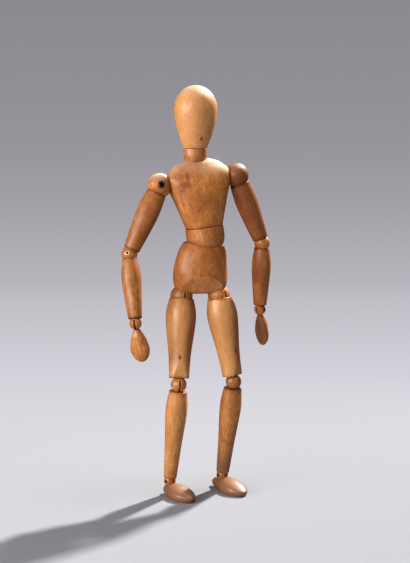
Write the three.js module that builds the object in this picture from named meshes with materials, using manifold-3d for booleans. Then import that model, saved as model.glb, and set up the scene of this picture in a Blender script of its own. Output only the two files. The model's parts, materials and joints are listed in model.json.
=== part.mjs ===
// Jointed wooden artist's figure, standing, in millimetres with +Z up.
// The figure faces -Y, its own right hand is on the -X side, and both soles rest on Z = 0.
import * as THREE from 'three';
import { mergeVertices } from 'three/addons/utils/BufferGeometryUtils.js';
import Module from 'manifold-3d';

// Driving dimensions: fits and facets
const GAP = 0.3;
const LIMB_SIDES = 14;
const BALL_SIDES = 14;
const TORSO_SIDES = 20;
const RIVET_SIDES = 8;
const ARC_STEP = Math.PI / 8;
const LIMB_STEPS = 8;
const HAND_STEPS = 6;
const TORSO_STEPS = 12;
const FOOT_ROWS = 12;

// Driving dimensions: ball joints (ball, hollow rivet, flat tang, peg)
const SHOULDER = {
  ballDia: 23.8, rivetDia: 5.2, rivetHole: 4.2, headDia: 6.8, headThick: 0.6,
  tangThick: 1.4, eyeDia: 9.6, tangWidth: 5, tangLength: 14, pegDia: 8, pegLength: 9,
};
const ELBOW = {
  ballDia: 15.5, rivetDia: 3, rivetHole: 2.2, headDia: 4.4, headThick: 0.5,
  tangThick: 1, eyeDia: 6.4, tangWidth: 3.4, tangLength: 11, pegDia: 5, pegLength: 8,
};
const WRIST = {
  ballDia: 11.5, rivetDia: 2.2, rivetHole: 1.4, headDia: 3.2, headThick: 0.4,
  tangThick: 0.9, eyeDia: 4.8, tangWidth: 2.6, tangLength: 9, pegDia: 4, pegLength: 7,
};
const HIP = {
  ballDia: 21.8, rivetDia: 4, rivetHole: 3, headDia: 5.2, headThick: 0.6,
  tangThick: 1.2, eyeDia: 8.2, tangWidth: 4.6, tangLength: 14, pegDia: 8, pegLength: 9,
};
const KNEE = {
  ballDia: 15.2, rivetDia: 3, rivetHole: 2.2, headDia: 4.4, headThick: 0.5,
  tangThick: 1, eyeDia: 6.4, tangWidth: 3.4, tangLength: 11, pegDia: 5, pegLength: 8,
};
const ANKLE = {
  ballDia: 11.6, rivetDia: 2.2, rivetHole: 1.4, headDia: 3.2, headThick: 0.4,
  tangThick: 0.9, eyeDia: 4.8, tangWidth: 2.6, tangLength: 5, pegDia: 4, pegLength: 7,
};

// Driving dimensions: turned limbs, from joint centre to joint centre.
// topAt and endAt are the distances of the two end faces from their joint centres.
const UPPER_ARM = {
  length: 72.2, topAt: 8.4, topDia: 19.4, bellyDia: 21.8, bellyAt: 27,
  slimDia: 19.2, slimAt: 48, endAt: 5, endDia: 15.4,
};
const FOREARM = {
  length: 67, topAt: 5, topDia: 14.8, bellyDia: 18.8, bellyAt: 22,
  slimDia: 16.2, slimAt: 44, endAt: 4.7, endDia: 12.8,
};
const THIGH = {
  length: 85.6, topAt: 2.6, topDia: 23.8, bellyDia: 29.6, bellyAt: 21,
  slimDia: 21.6, slimAt: 57, endAt: 6.2, endDia: 19.4, flatDepth: 2.9, flatLength: 11.4,
};
const SHIN = {
  length: 97.5, topAt: 6.3, topDia: 17.2, bellyDia: 21, bellyAt: 26,
  slimDia: 16.4, slimAt: 61, endAt: 3.6, endDia: 12.6,
};

// Driving dimensions: hand and foot
const HAND = {
  length: 38, topAt: 5.6, neckDia: 5.4, midDia: 14.6, width: 19.4, widestAt: 24, depthShare: 0.62,
  palmDepth: 2.4,
};
const FOOT = {
  heel: { right: 10, left: 17 }, toe: 38, widestAt: 20, width: 21.8, humpHeight: 14.2, toeHeight: 9.6,
  edgeHeight: 4.4, toePoint: 0.12, heelTaper: 0.58, ankleHeight: 14.5,
};

// Driving dimensions: head, neck, chest, waist and pelvis
const HEAD = { height: 60.2, width: 41.5, widestAt: 37.9, seamDia: 21.6, taperPower: 1.8 };
const NECK = {
  ballDia: 22.4, topAt: 5.8, spigotDia: 8, spigotLength: 12, pinDia: 2.6, pinLength: 15,
  tangThick: 1.4, eyeDia: 6.4, tangWidth: 4, tangLength: 13, swing: 28,
};
const WAIST = {
  ballDia: 37.2, topAt: 8.7, spigotDia: 12, spigotLength: 10, pinDia: 3.4, pinLength: 26,
  tangThick: 2, eyeDia: 8.4, tangWidth: 6, tangLength: 14, swing: 24,
};
const CHEST = {
  bottomDia: 36, ribHalfWidth: 25.6, ribAt: 36, shoulderHalfWidth: 32.6, shoulderAt: 57,
  crownHalfWidth: 22.6, crownAt: 70, neckAt: 79.1, topAt: 75.6, squareness: 2.5,
  ribHalfDepth: 19.6, shoulderHalfDepth: 16.6, crownHalfDepth: 10.6, topHalfWidth: 8.4, topHalfDepth: 4.6,
  jointAt: 54.5, jointHalfSpan: 38.2, faceInset: 8.8, faceTilt: 6,
};
const PELVIS = {
  rimAt: 5.3, rimHalfWidth: 18.6, upperHalfWidth: 23.4, upperAt: 15, hipHalfWidth: 26.5, hipAt: 35,
  lowerHalfWidth: 25.4, lowerAt: 48, baseHalfWidth: 20, baseAt: 55.4, depthShare: 0.8,
  flatHeight: 17.3, flatBack: 6, jointDrop: 2.6, jointHalfSpan: 18.5, pegSplay: 6,
  waistShift: 5.1, rimShift: 2.4,
};

// Rest pose, in degrees and millimetres
const POSE = {
  crouch: 2.8, chestLean: 7.3, chestTurn: 3, headLean: -0.8,
  right: {
    side: -1, upperArm: [-25, 5.5], forearm: [3, 16.8], hand: [10.4, -6], palm: 150, ankle: [-31.4, -6.6],
    kneeFacing: 2, footFacing: 27, blind: { hip: -1 },
  },
  left: {
    side: 1, upperArm: [22.4, -6.2], forearm: [-0.5, -5], hand: [7, -12.5], palm: -72, ankle: [23.4, 7],
    kneeFacing: 45, footFacing: 24, blind: { shoulder: 1, elbow: 1, hip: -1, knee: -1 },
  },
};

const WOOD = { color: 0xc58a4c, roughness: 0.45, metalness: 0 };
const BALL_WOOD = { color: 0xb97c40, roughness: 0.5, metalness: 0 };
const BRASS = { color: 0x9a7c45, roughness: 0.4, metalness: 1 };
const STEEL = { color: 0x6f6c68, roughness: 0.45, metalness: 1 };

const wasm = await Module();
wasm.setup();

// A closed geometry as a solid: shared vertices merged, and faces that collapse at a pole left out.
function solid(geometry) {
  const bare = geometry.clone();
  bare.deleteAttribute('normal');
  bare.deleteAttribute('uv');
  const merged = mergeVertices(bare, 1e-4);
  const corners = merged.index.array;
  const kept = [];
  for (let i = 0; i < corners.length; i += 3) {
    const [a, b, c] = corners.subarray(i, i + 3);
    if (a !== b && b !== c && c !== a) kept.push(a, b, c);
  }
  const vertProperties = new Float32Array(merged.attributes.position.array);
  return new wasm.Manifold(new wasm.Mesh({ numProp: 3, vertProperties, triVerts: new Uint32Array(kept) }));
}

function cut(base, ...tools) {
  return tools.reduce((left, tool) => left.subtract(solid(tool)), solid(base));
}

function toGeometry(body) {
  const mesh = body.getMesh();
  const geometry = new THREE.BufferGeometry();
  geometry.setAttribute('position', new THREE.BufferAttribute(new Float32Array(mesh.vertProperties), 3));
  geometry.setIndex(new THREE.BufferAttribute(new Uint32Array(mesh.triVerts), 1));
  geometry.computeVertexNormals();
  return geometry;
}

// A turned shape about +Z from [radius, height] points that run up the outside.
function turned(points, sides) {
  const outline = points.map(([radius, height]) => new THREE.Vector2(radius, height));
  return new THREE.LatheGeometry(outline, sides).rotateX(Math.PI / 2);
}

// A plain rod along +Z from one height to another.
function rod(radius, from, to, sides) {
  return turned([[0, from], [radius, from], [radius, to], [0, to]], sides);
}

// Points on a circle about the axis point at height 0, as [radius, height]; angle 0 points up.
function arc(radius, from, to) {
  const steps = Math.max(2, Math.ceil(Math.abs(to - from) / ARC_STEP));
  return Array.from({ length: steps + 1 }, (_, i) => {
    const angle = from + ((to - from) * i) / steps;
    return [radius * Math.sin(angle), radius * Math.cos(angle)];
  });
}

// A smooth curve through [height, radius] stations, as [radius, height] points from the first to the last.
function swell(stations, steps) {
  const curve = new THREE.SplineCurve(stations.map(([height, radius]) => new THREE.Vector2(radius, height)));
  return curve.getSpacedPoints(steps).map((point) => [point.x, point.y]);
}

// Value at a height on the smooth curve through [height, value] stations.
function through(stations, height) {
  const points = swell(stations, 8 * TORSO_STEPS);
  const next = Math.max(1, points.findIndex(([, at]) => at >= height - 1e-6));
  const [[from, low], [to, high]] = points.slice(next - 1, next + 1);
  return THREE.MathUtils.mapLinear(height, low, high, from, to);
}

// Radius of a faceted hole or cup that a round piece of this radius turns in freely.
function running(radius, sides) {
  return (radius + GAP) / Math.cos(Math.PI / sides);
}

function cupRadius(ballDia, sides) {
  return running(ballDia / 2, sides) / Math.cos(ARC_STEP / 2);
}

function reshape(geometry, move) {
  const place = geometry.attributes.position;
  for (let i = 0; i < place.count; i += 1) {
    place.setXYZ(i, ...move(place.getX(i), place.getY(i), place.getZ(i)));
  }
  return geometry;
}

// Ball joint pieces. The peg points along +Z, the rivet lies along X and the limb hangs along -Z.
function ballGeometry(joint, blind) {
  const radius = joint.ballDia / 2;
  const pegRadius = joint.pegDia / 2;
  const pegTop = radius + joint.pegLength;
  const shoulder = Math.asin(pegRadius / radius);
  const body = turned([...arc(radius, Math.PI, shoulder), [pegRadius, pegTop], [0, pegTop]], BALL_SIDES);
  const slotTop = joint.eyeDia / 2 + GAP;
  const slot = new THREE.BoxGeometry(joint.tangThick + 2 * GAP, 4 * radius, 2 * radius);
  slot.translate(0, 0, slotTop - radius);
  const boreEnd = blind ? blindEnd(joint) + GAP : 2 * radius;
  const bore = rod(joint.rivetDia / 2 + GAP, -2 * radius, boreEnd, RIVET_SIDES).rotateY(rivetTurn(blind));
  const seatAt = rivetFace(joint) - joint.headThick - GAP;
  const ends = blind ? [-rivetTurn(blind)] : [Math.PI / 2, -Math.PI / 2];
  const seatRadius = joint.headDia / 2 + GAP;
  const seats = ends.map((turn) => rod(seatRadius, seatAt, 2 * radius, RIVET_SIDES).rotateY(turn));
  return toGeometry(cut(body, slot, bore, ...seats));
}

// Distance from the ball's centre to the outer face of a rivet head, just under the ball's surface.
function rivetFace(joint) {
  return Math.sqrt((joint.ballDia / 2) ** 2 - (joint.headDia / 2) ** 2) - GAP / 2;
}

// A blind rivet stops inside the cheek on the side that blind gives, 1 for +X and -1 for -X.
function blindEnd(joint) {
  return joint.tangThick / 2 + joint.rivetDia;
}

function rivetTurn(blind) {
  return blind < 0 ? -Math.PI / 2 : Math.PI / 2;
}

function rivetGeometry(joint, blind) {
  const face = rivetFace(joint);
  const neck = face - joint.headThick;
  const hole = joint.rivetHole / 2;
  const tube = joint.rivetDia / 2;
  const head = joint.headDia / 2;
  const end = blindEnd(joint);
  const farHead = [[tube, neck], [head, neck], [head, face], [hole, face]];
  const farEnd = blind ? [[tube, end], [hole, end]] : farHead;
  const ring = [[hole, -face], [head, -face], [head, -neck], [tube, -neck], ...farEnd, [hole, -face]];
  return turned(ring, RIVET_SIDES).rotateY(rivetTurn(blind));
}

// A flat strip with a round eye at the origin, hanging along -Z, its faces square to X.
function tangGeometry(joint, pinDia) {
  const eye = joint.eyeDia / 2;
  const half = joint.tangWidth / 2;
  const lean = Math.asin(half / eye);
  const tip = joint.ballDia / 2 + joint.tangLength;
  const outline = new THREE.Shape();
  outline.absarc(0, 0, eye, lean - Math.PI / 2, 1.5 * Math.PI - lean, false);
  outline.lineTo(-half, -tip);
  outline.lineTo(half, -tip);
  const hole = new THREE.Path();
  hole.absarc(0, 0, running(pinDia / 2, RIVET_SIDES), 0, 2 * Math.PI, true);
  outline.holes.push(hole);
  const strip = new THREE.ExtrudeGeometry(outline, {
    depth: joint.tangThick, bevelEnabled: false, curveSegments: RIVET_SIDES / 2,
  });
  strip.translate(0, 0, -joint.tangThick / 2).rotateX(Math.PI / 2).rotateZ(Math.PI / 2);
  return strip;
}

// A turned limb hanging along -Z: a bored cup at the top and a cup with a peg hole at the lower end.
function limbGeometry(limb, upper, lower) {
  const topCup = cupRadius(upper.ballDia, LIMB_SIDES);
  const endCup = cupRadius(lower.ballDia, LIMB_SIDES);
  const tangBore = running(Math.hypot(upper.tangWidth, upper.tangThick) / 2, LIMB_SIDES);
  const pegBore = running(lower.pegDia / 2, LIMB_SIDES);
  const tangBottom = -(upper.ballDia / 2 + upper.tangLength + GAP);
  const pegTop = -limb.length + lower.ballDia / 2 + lower.pegLength + GAP;
  const topEdge = Math.PI - Math.acos(limb.topAt / topCup);
  const topMouth = arc(topCup, topEdge, Math.PI - Math.asin(tangBore / topCup));
  const endMouth = arc(endCup, Math.asin(pegBore / endCup), Math.acos(limb.endAt / endCup));
  const skin = swell([
    [-limb.length + limb.endAt, limb.endDia / 2], [-limb.slimAt, limb.slimDia / 2],
    [-limb.bellyAt, limb.bellyDia / 2], [-limb.topAt, limb.topDia / 2],
  ], LIMB_STEPS);
  return turned([
    [0, pegTop], [pegBore, pegTop],
    ...endMouth.map(([radius, height]) => [radius, height - limb.length]),
    ...skin, ...topMouth, [tangBore, tangBottom], [0, tangBottom],
  ], LIMB_SIDES);
}

// A wedge that shaves a flat on the front of a limb's lower end.
function endFlat(limb) {
  const size = limb.length;
  const lean = Math.atan2(limb.flatDepth, limb.flatLength);
  const block = new THREE.BoxGeometry(size, size, size).translate(0, -size / 2, 0).rotateX(lean);
  return block.translate(0, limb.flatDepth - limb.endDia / 2, limb.endAt - limb.length);
}

function thighGeometry() {
  return toGeometry(cut(limbGeometry(THIGH, HIP, KNEE), endFlat(THIGH)));
}

// The hand hangs along -Z with its flat palm facing -Y.
function handGeometry() {
  const half = HAND.width / 2;
  const neck = HAND.neckDia / 2;
  const rise = swell([
    [-HAND.widestAt, half], [-(HAND.widestAt + HAND.topAt) / 2, HAND.midDia / 2], [-HAND.topAt, neck],
  ], HAND_STEPS);
  const tipLength = HAND.length - HAND.widestAt;
  const tip = arc(1, Math.PI, Math.PI / 2).map(([r, h]) => [r * half, h * tipLength - HAND.widestAt]);
  const paddle = turned([...tip, ...rise.slice(1), [0, -HAND.topAt]], LIMB_SIDES);
  reshape(paddle, (x, y, z) => {
    const along = THREE.MathUtils.smoothstep(-z, HAND.topAt, HAND.widestAt);
    return [x, y * THREE.MathUtils.lerp(1, HAND.depthShare, along), z];
  });
  const size = 2 * HAND.length;
  const palm = new THREE.BoxGeometry(size, size, size).translate(0, -size / 2, 0);
  palm.rotateX(Math.atan2(neck - HAND.palmDepth, HAND.widestAt - HAND.topAt));
  palm.translate(0, -HAND.palmDepth, -HAND.widestAt);
  return toGeometry(cut(paddle, palm, ...socketTools(WRIST)));
}

// Ball seat and tang bore to cut from a carved block that hangs below a joint.
function socketTools(joint) {
  const cup = new THREE.SphereGeometry(cupRadius(joint.ballDia, BALL_SIDES), BALL_SIDES, BALL_SIDES / 2);
  const boreRadius = running(Math.hypot(joint.tangWidth, joint.tangThick) / 2, RIVET_SIDES);
  const bore = rod(boreRadius, -(joint.ballDia / 2 + joint.tangLength + GAP), 0, RIVET_SIDES);
  return [cup, bore];
}

// The foot points along -Y with its sole at the ankle height below the joint.
function footGeometry(heel) {
  const last = new THREE.SphereGeometry(1, LIMB_SIDES, FOOT_ROWS);
  reshape(last, (x, y, z) => {
    const toeward = -y;
    const reach = toeward > 0 ? FOOT.toe - FOOT.widestAt : FOOT.widestAt + heel;
    const forward = FOOT.widestAt + toeward * reach;
    const slope = THREE.MathUtils.smoothstep(forward, FOOT.widestAt / 2, FOOT.toe);
    const crown = THREE.MathUtils.lerp(FOOT.humpHeight, FOOT.toeHeight, slope) - FOOT.edgeHeight;
    const point = toeward > 0 ? (1 - Math.min(1, toeward) ** 2) ** FOOT.toePoint : 1;
    const taper = THREE.MathUtils.lerp(1, FOOT.heelTaper, THREE.MathUtils.smoothstep(-toeward, 0, 1));
    const lift = z > 0 ? z * crown * point : 2 * z * FOOT.edgeHeight;
    return [(x * point * taper * FOOT.width) / 2, -forward, lift + FOOT.edgeHeight - FOOT.ankleHeight];
  });
  const size = 4 * FOOT.toe;
  const floor = new THREE.BoxGeometry(size, size, size).translate(0, 0, -FOOT.ankleHeight - size / 2);
  return toGeometry(cut(last, floor, ...socketTools(ANKLE)));
}

// Head: an egg that stands on the neck, its seam at height 0.
function headGeometry() {
  const half = HEAD.width / 2;
  const shrink = 1 - HEAD.seamDia / HEAD.width;
  const cheek = Array.from({ length: LIMB_STEPS }, (_, i) => {
    const height = (HEAD.widestAt * i) / LIMB_STEPS;
    return [half * (1 - shrink * (1 - height / HEAD.widestAt) ** HEAD.taperPower), height];
  });
  const crownHeight = HEAD.height - HEAD.widestAt;
  const crown = arc(1, Math.PI / 2, 0).map(([r, h]) => [r * half, h * crownHeight + HEAD.widestAt]);
  const bore = running(NECK.spigotDia / 2, TORSO_SIDES);
  const boreTop = NECK.spigotLength + GAP;
  return turned([[0, boreTop], [bore, boreTop], [bore, 0], ...cheek, ...crown], TORSO_SIDES);
}

// Neck or waist: round below, straight above, with a spigot on top.
// Its slot takes a tang on a cross pin along Y.
function knuckleGeometry(block) {
  const radius = block.ballDia / 2;
  const spigot = block.spigotDia / 2;
  const spigotTop = block.topAt + block.spigotLength;
  const body = turned([
    ...arc(radius, Math.PI, Math.PI / 2), [radius, block.topAt], [spigot, block.topAt],
    [spigot, spigotTop], [0, spigotTop],
  ], TORSO_SIDES);
  const slotHalf = block.tangWidth / 2 + radius * Math.tan(THREE.MathUtils.degToRad(block.swing));
  const slot = new THREE.BoxGeometry(2 * slotHalf, block.tangThick + 2 * GAP, 2 * radius);
  slot.translate(0, 0, block.eyeDia / 2 + GAP - radius);
  const bore = rod(block.pinDia / 2 + GAP, pinFront(block) - GAP, 2 * radius, RIVET_SIDES);
  return toGeometry(cut(body, slot, bore.rotateX(-Math.PI / 2)));
}

// The cross pin goes in from the back and stops short of the front.
function pinFront(block) {
  return block.ballDia / 2 - GAP - block.pinLength;
}

function crossPinGeometry(block) {
  const back = block.ballDia / 2 - GAP;
  return rod(block.pinDia / 2, pinFront(block), back, RIVET_SIDES).rotateX(-Math.PI / 2);
}

// Socket for a knuckle and the bore for its tang, centred on the knuckle.
function knuckleTools(block) {
  const cup = new THREE.SphereGeometry(cupRadius(block.ballDia, TORSO_SIDES), TORSO_SIDES, TORSO_SIDES / 2);
  const boreRadius = running(Math.hypot(block.tangWidth, block.tangThick) / 2, RIVET_SIDES);
  const bore = rod(boreRadius, -(block.ballDia / 2 + block.tangLength + GAP), 0, RIVET_SIDES);
  return [cup, bore];
}

// Seat for a ball and the bore for its peg, to cut from the block that carries the ball.
function carrierTools(joint) {
  const cup = new THREE.SphereGeometry(cupRadius(joint.ballDia, BALL_SIDES), BALL_SIDES, BALL_SIDES / 2);
  const boreTop = joint.ballDia / 2 + joint.pegLength + GAP;
  const bore = rod(running(joint.pegDia / 2, BALL_SIDES), 0, boreTop, BALL_SIDES);
  return [cup, bore];
}

// Ball places on the chest and the pelvis, in the block's own frame, with the direction of the peg.
function shoulderSeat(side) {
  const tilt = THREE.MathUtils.degToRad(CHEST.faceTilt);
  const centre = new THREE.Vector3(side * CHEST.jointHalfSpan, 0, CHEST.jointAt);
  return { centre, peg: new THREE.Vector3(-side * Math.cos(tilt), 0, Math.sin(tilt)) };
}

function hipSeat(side) {
  const splay = THREE.MathUtils.degToRad(PELVIS.pegSplay);
  const aside = side * PELVIS.jointHalfSpan - PELVIS.waistShift;
  const centre = new THREE.Vector3(aside, 0, -PELVIS.baseAt - PELVIS.jointDrop);
  return { centre, peg: new THREE.Vector3(-side * Math.sin(splay), 0, Math.cos(splay)) };
}

function seated(tools, seat) {
  const turn = new THREE.Quaternion().setFromUnitVectors(new THREE.Vector3(0, 0, 1), seat.peg);
  return tools.map((tool) => tool.applyQuaternion(turn).translate(...seat.centre.toArray()));
}

// Chest: heights are measured from the waist's centre.
function chestGeometry() {
  const bottom = WAIST.topAt + GAP;
  const profile = swell([
    [bottom, CHEST.bottomDia / 2], [CHEST.ribAt, CHEST.ribHalfWidth],
    [CHEST.shoulderAt, CHEST.shoulderHalfWidth], [CHEST.crownAt, CHEST.crownHalfWidth],
    [CHEST.topAt, CHEST.topHalfWidth],
  ], TORSO_STEPS);
  const depths = [
    [bottom, CHEST.bottomDia / 2], [CHEST.ribAt, CHEST.ribHalfDepth],
    [CHEST.shoulderAt, CHEST.shoulderHalfDepth], [CHEST.crownAt, CHEST.crownHalfDepth],
    [CHEST.topAt, CHEST.topHalfDepth],
  ];
  const spigotBore = running(WAIST.spigotDia / 2, TORSO_SIDES);
  const boreTop = WAIST.topAt + WAIST.spigotLength + GAP;
  const block = turned([[0, bottom], ...profile, [0, CHEST.topAt]], TORSO_SIDES);
  reshape(block, (x, y, z) => {
    const radius = Math.hypot(x, y);
    if (radius < GAP) return [x, y, z];
    const above = THREE.MathUtils.smoothstep(z, bottom, CHEST.ribAt);
    const square = THREE.MathUtils.lerp(2, CHEST.squareness, above);
    const [c, s] = [x / radius, y / radius];
    const bulge = (Math.abs(c) ** square + Math.abs(s) ** square) ** (-1 / square);
    return [radius * bulge * c, through(depths, z) * bulge * s, z];
  });
  const tools = [rod(spigotBore, 0, boreTop, TORSO_SIDES)];
  for (const side of [-1, 1]) {
    const seat = shoulderSeat(side);
    const size = 2 * CHEST.topAt;
    const face = new THREE.BoxGeometry(size, size, size).translate(0, 0, CHEST.faceInset - size / 2);
    tools.push(...seated([face, ...carrierTools(SHOULDER)], seat));
  }
  tools.push(...knuckleTools(NECK).map((tool) => tool.translate(0, 0, CHEST.neckAt)));
  return toGeometry(cut(block, ...tools));
}

// Pelvis: heights are measured from the waist's centre. The waist stands off the hips' middle by its shift,
// and the barrel leans towards it by the rim's shift.
function pelvisGeometry() {
  const profile = swell([
    [-PELVIS.baseAt, PELVIS.baseHalfWidth], [-PELVIS.lowerAt, PELVIS.lowerHalfWidth],
    [-PELVIS.hipAt, PELVIS.hipHalfWidth], [-PELVIS.upperAt, PELVIS.upperHalfWidth],
    [-PELVIS.rimAt, PELVIS.rimHalfWidth],
  ], TORSO_STEPS);
  const barrel = turned([[0, -PELVIS.baseAt], ...profile, [0, -PELVIS.rimAt]], TORSO_SIDES);
  reshape(barrel, (x, y, z) => {
    const above = THREE.MathUtils.smoothstep(z, -PELVIS.hipAt, -PELVIS.rimAt);
    return [x - PELVIS.waistShift + PELVIS.rimShift * above, y * PELVIS.depthShare, z];
  });
  const size = 4 * PELVIS.baseAt;
  const front = PELVIS.hipHalfWidth * PELVIS.depthShare;
  const flat = new THREE.BoxGeometry(size, size, size).translate(0, -size / 2, 0);
  flat.rotateX(Math.atan2(front - PELVIS.flatBack, PELVIS.flatHeight));
  flat.translate(0, -PELVIS.flatBack, -PELVIS.baseAt);
  const tools = [flat, ...knuckleTools(WAIST)];
  for (const side of [-1, 1]) tools.push(...seated(carrierTools(HIP), hipSeat(side)));
  return toGeometry(cut(barrel, ...tools));
}

// Scene graph
const figure = new THREE.Group();

function mesh(name, geometry, look) {
  const piece = new THREE.Mesh(geometry, new THREE.MeshStandardMaterial(look));
  piece.name = name;
  return piece;
}

// A group at a point, with its Z axis along up and its X axis as near to pin as that allows.
function station(origin, up, pin) {
  const z = up.clone().normalize();
  const x = pin.clone().addScaledVector(z, -pin.dot(z)).normalize();
  const group = new THREE.Group();
  group.position.copy(origin);
  group.setRotationFromMatrix(new THREE.Matrix4().makeBasis(x, z.clone().cross(x), z));
  figure.add(group);
  return group;
}

// Adds a ball with its rivet, and the tang that swings on it. The rivet is square to both axes.
function addBallJoint(name, joint, centre, pegUp, limbUp, rivetHint, blind) {
  const pin = new THREE.Vector3().crossVectors(pegUp, limbUp).normalize();
  if (pin.dot(rivetHint) < 0) pin.negate();
  const [part, side] = name.split(' ');
  station(centre, pegUp, pin).add(
    mesh(`${part}_ball_${side}`, ballGeometry(joint, blind), BALL_WOOD),
    mesh(`${part}_rivet_${side}`, rivetGeometry(joint, blind), BRASS),
  );
  station(centre, limbUp, pin).add(mesh(`${part}_tang_${side}`, tangGeometry(joint, joint.rivetDia), STEEL));
}

// Direction up a hanging limb from its lean to +X and its swing forward, in degrees.
function upward([sideways, forward]) {
  const toX = Math.tan(THREE.MathUtils.degToRad(sideways));
  const toFront = Math.tan(THREE.MathUtils.degToRad(forward));
  return new THREE.Vector3(-toX, toFront, 1).normalize();
}

// Level direction square to a facing angle: 0 faces the front, positive turns towards +X.
function across(facing) {
  const angle = THREE.MathUtils.degToRad(facing);
  return new THREE.Vector3(Math.cos(angle), Math.sin(angle), 0);
}

const UP = new THREE.Vector3(0, 0, 1);
const SIDEWAYS = new THREE.Vector3(1, 0, 0);
const FRONT = new THREE.Vector3(0, -1, 0);

// The hips stand lower than straight legs would hold them by the crouch.
const hipHeight = FOOT.ankleHeight + SHIN.length + THIGH.length - POSE.crouch;
const waistCentre = new THREE.Vector3(PELVIS.waistShift, 0, hipHeight + PELVIS.jointDrop + PELVIS.baseAt);
const chestUp = new THREE.Vector3(-Math.tan(THREE.MathUtils.degToRad(POSE.chestLean)), 0, 1).normalize();
const headUp = new THREE.Vector3(-Math.tan(THREE.MathUtils.degToRad(POSE.headLean)), 0, 1).normalize();

station(waistCentre, UP, SIDEWAYS).add(
  mesh('pelvis', pelvisGeometry(), WOOD),
  mesh('waist_tang', tangGeometry(WAIST, WAIST.pinDia).rotateZ(Math.PI / 2), STEEL),
);
station(waistCentre, chestUp, SIDEWAYS).add(
  mesh('waist', knuckleGeometry(WAIST), BALL_WOOD),
  mesh('waist_pin', crossPinGeometry(WAIST), STEEL),
);
const chestStation = station(waistCentre, chestUp, across(POSE.chestTurn));
chestStation.add(mesh('chest', chestGeometry(), WOOD));
chestStation.updateMatrixWorld();

const neckCentre = chestStation.localToWorld(new THREE.Vector3(0, 0, CHEST.neckAt));
station(neckCentre, chestUp, SIDEWAYS).add(
  mesh('neck_tang', tangGeometry(NECK, NECK.pinDia).rotateZ(Math.PI / 2), STEEL),
);
const headStation = station(neckCentre, headUp, SIDEWAYS);
headStation.add(
  mesh('neck', knuckleGeometry(NECK), BALL_WOOD),
  mesh('neck_pin', crossPinGeometry(NECK), STEEL),
  mesh('head', headGeometry().translate(0, 0, NECK.topAt + GAP), WOOD),
);

function addArm(name, pose) {
  const seat = shoulderSeat(pose.side);
  const shoulder = chestStation.localToWorld(seat.centre.clone());
  const pegUp = seat.peg.clone().transformDirection(chestStation.matrixWorld);
  const armUp = upward(pose.upperArm);
  const forearmUp = upward(pose.forearm);
  const handUp = upward(pose.hand);
  const elbow = shoulder.clone().addScaledVector(armUp, -UPPER_ARM.length);
  const wrist = elbow.clone().addScaledVector(forearmUp, -FOREARM.length);
  addBallJoint(`shoulder ${name}`, SHOULDER, shoulder, pegUp, armUp, FRONT, pose.blind.shoulder);
  const upperArm = limbGeometry(UPPER_ARM, SHOULDER, ELBOW);
  station(shoulder, armUp, SIDEWAYS).add(mesh(`upper_arm_${name}`, upperArm, WOOD));
  addBallJoint(`elbow ${name}`, ELBOW, elbow, armUp, forearmUp, FRONT, pose.blind.elbow);
  station(elbow, forearmUp, SIDEWAYS).add(mesh(`forearm_${name}`, limbGeometry(FOREARM, ELBOW, WRIST), WOOD));
  addBallJoint(`wrist ${name}`, WRIST, wrist, forearmUp, handUp, FRONT);
  station(wrist, handUp, across(pose.palm)).add(mesh(`hand_${name}`, handGeometry(), WOOD));
}

// Knee place for a hip and an ankle: both limbs reach it, and it is pushed towards the facing angle.
function kneeBetween(hip, ankle, facing) {
  const span = ankle.clone().sub(hip);
  const reach = span.length();
  const along = (THIGH.length ** 2 - SHIN.length ** 2 + reach ** 2) / (2 * reach);
  const out = Math.sqrt(Math.max(0, THIGH.length ** 2 - along ** 2));
  const line = span.normalize();
  const push = new THREE.Vector3().crossVectors(across(facing), line).normalize();
  if (push.dot(FRONT) < 0) push.negate();
  return hip.clone().addScaledVector(line, along).addScaledVector(push, out);
}

function addLeg(name, pose) {
  const seat = hipSeat(pose.side);
  const hip = seat.centre.clone().add(waistCentre);
  const ankle = new THREE.Vector3(pose.ankle[0], pose.ankle[1], FOOT.ankleHeight);
  const knee = kneeBetween(hip, ankle, pose.kneeFacing);
  const thighUp = hip.clone().sub(knee).normalize();
  const shinUp = knee.clone().sub(ankle).normalize();
  addBallJoint(`hip ${name}`, HIP, hip, seat.peg, thighUp, SIDEWAYS, pose.blind.hip);
  station(hip, thighUp, across(pose.kneeFacing)).add(mesh(`thigh_${name}`, thighGeometry(), WOOD));
  addBallJoint(`knee ${name}`, KNEE, knee, thighUp, shinUp, SIDEWAYS, pose.blind.knee);
  const shin = limbGeometry(SHIN, KNEE, ANKLE);
  station(knee, shinUp, across(pose.kneeFacing)).add(mesh(`shin_${name}`, shin, WOOD));
  addBallJoint(`ankle ${name}`, ANKLE, ankle, shinUp, UP, FRONT);
  station(ankle, UP, across(pose.footFacing)).add(mesh(`foot_${name}`, footGeometry(FOOT.heel[name]), WOOD));
}

for (const name of ['right', 'left']) {
  addArm(name, POSE[name]);
  addLeg(name, POSE[name]);
}

// The origin is on the floor under the middle of the figure's box.
const box = new THREE.Box3().setFromObject(figure, true);
const middle = box.getCenter(new THREE.Vector3());
figure.position.set(-middle.x, -middle.y, 0);

export default figure;
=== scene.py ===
# %% [markdown]
# # A jointed wooden artist's figure
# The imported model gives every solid, body and joint of the figure. This lesson keeps that frame as it
# is and lays finer wooden, brass and steel pieces on it. Every shape below is worked out in
# millimetres in the piece's own frame, and is moved to its place in metres at the very end, so the
# numbers stay easy to read beside a ruler.

# %% Load the frame
import json
import math
from collections import namedtuple
from functools import partial

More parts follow.
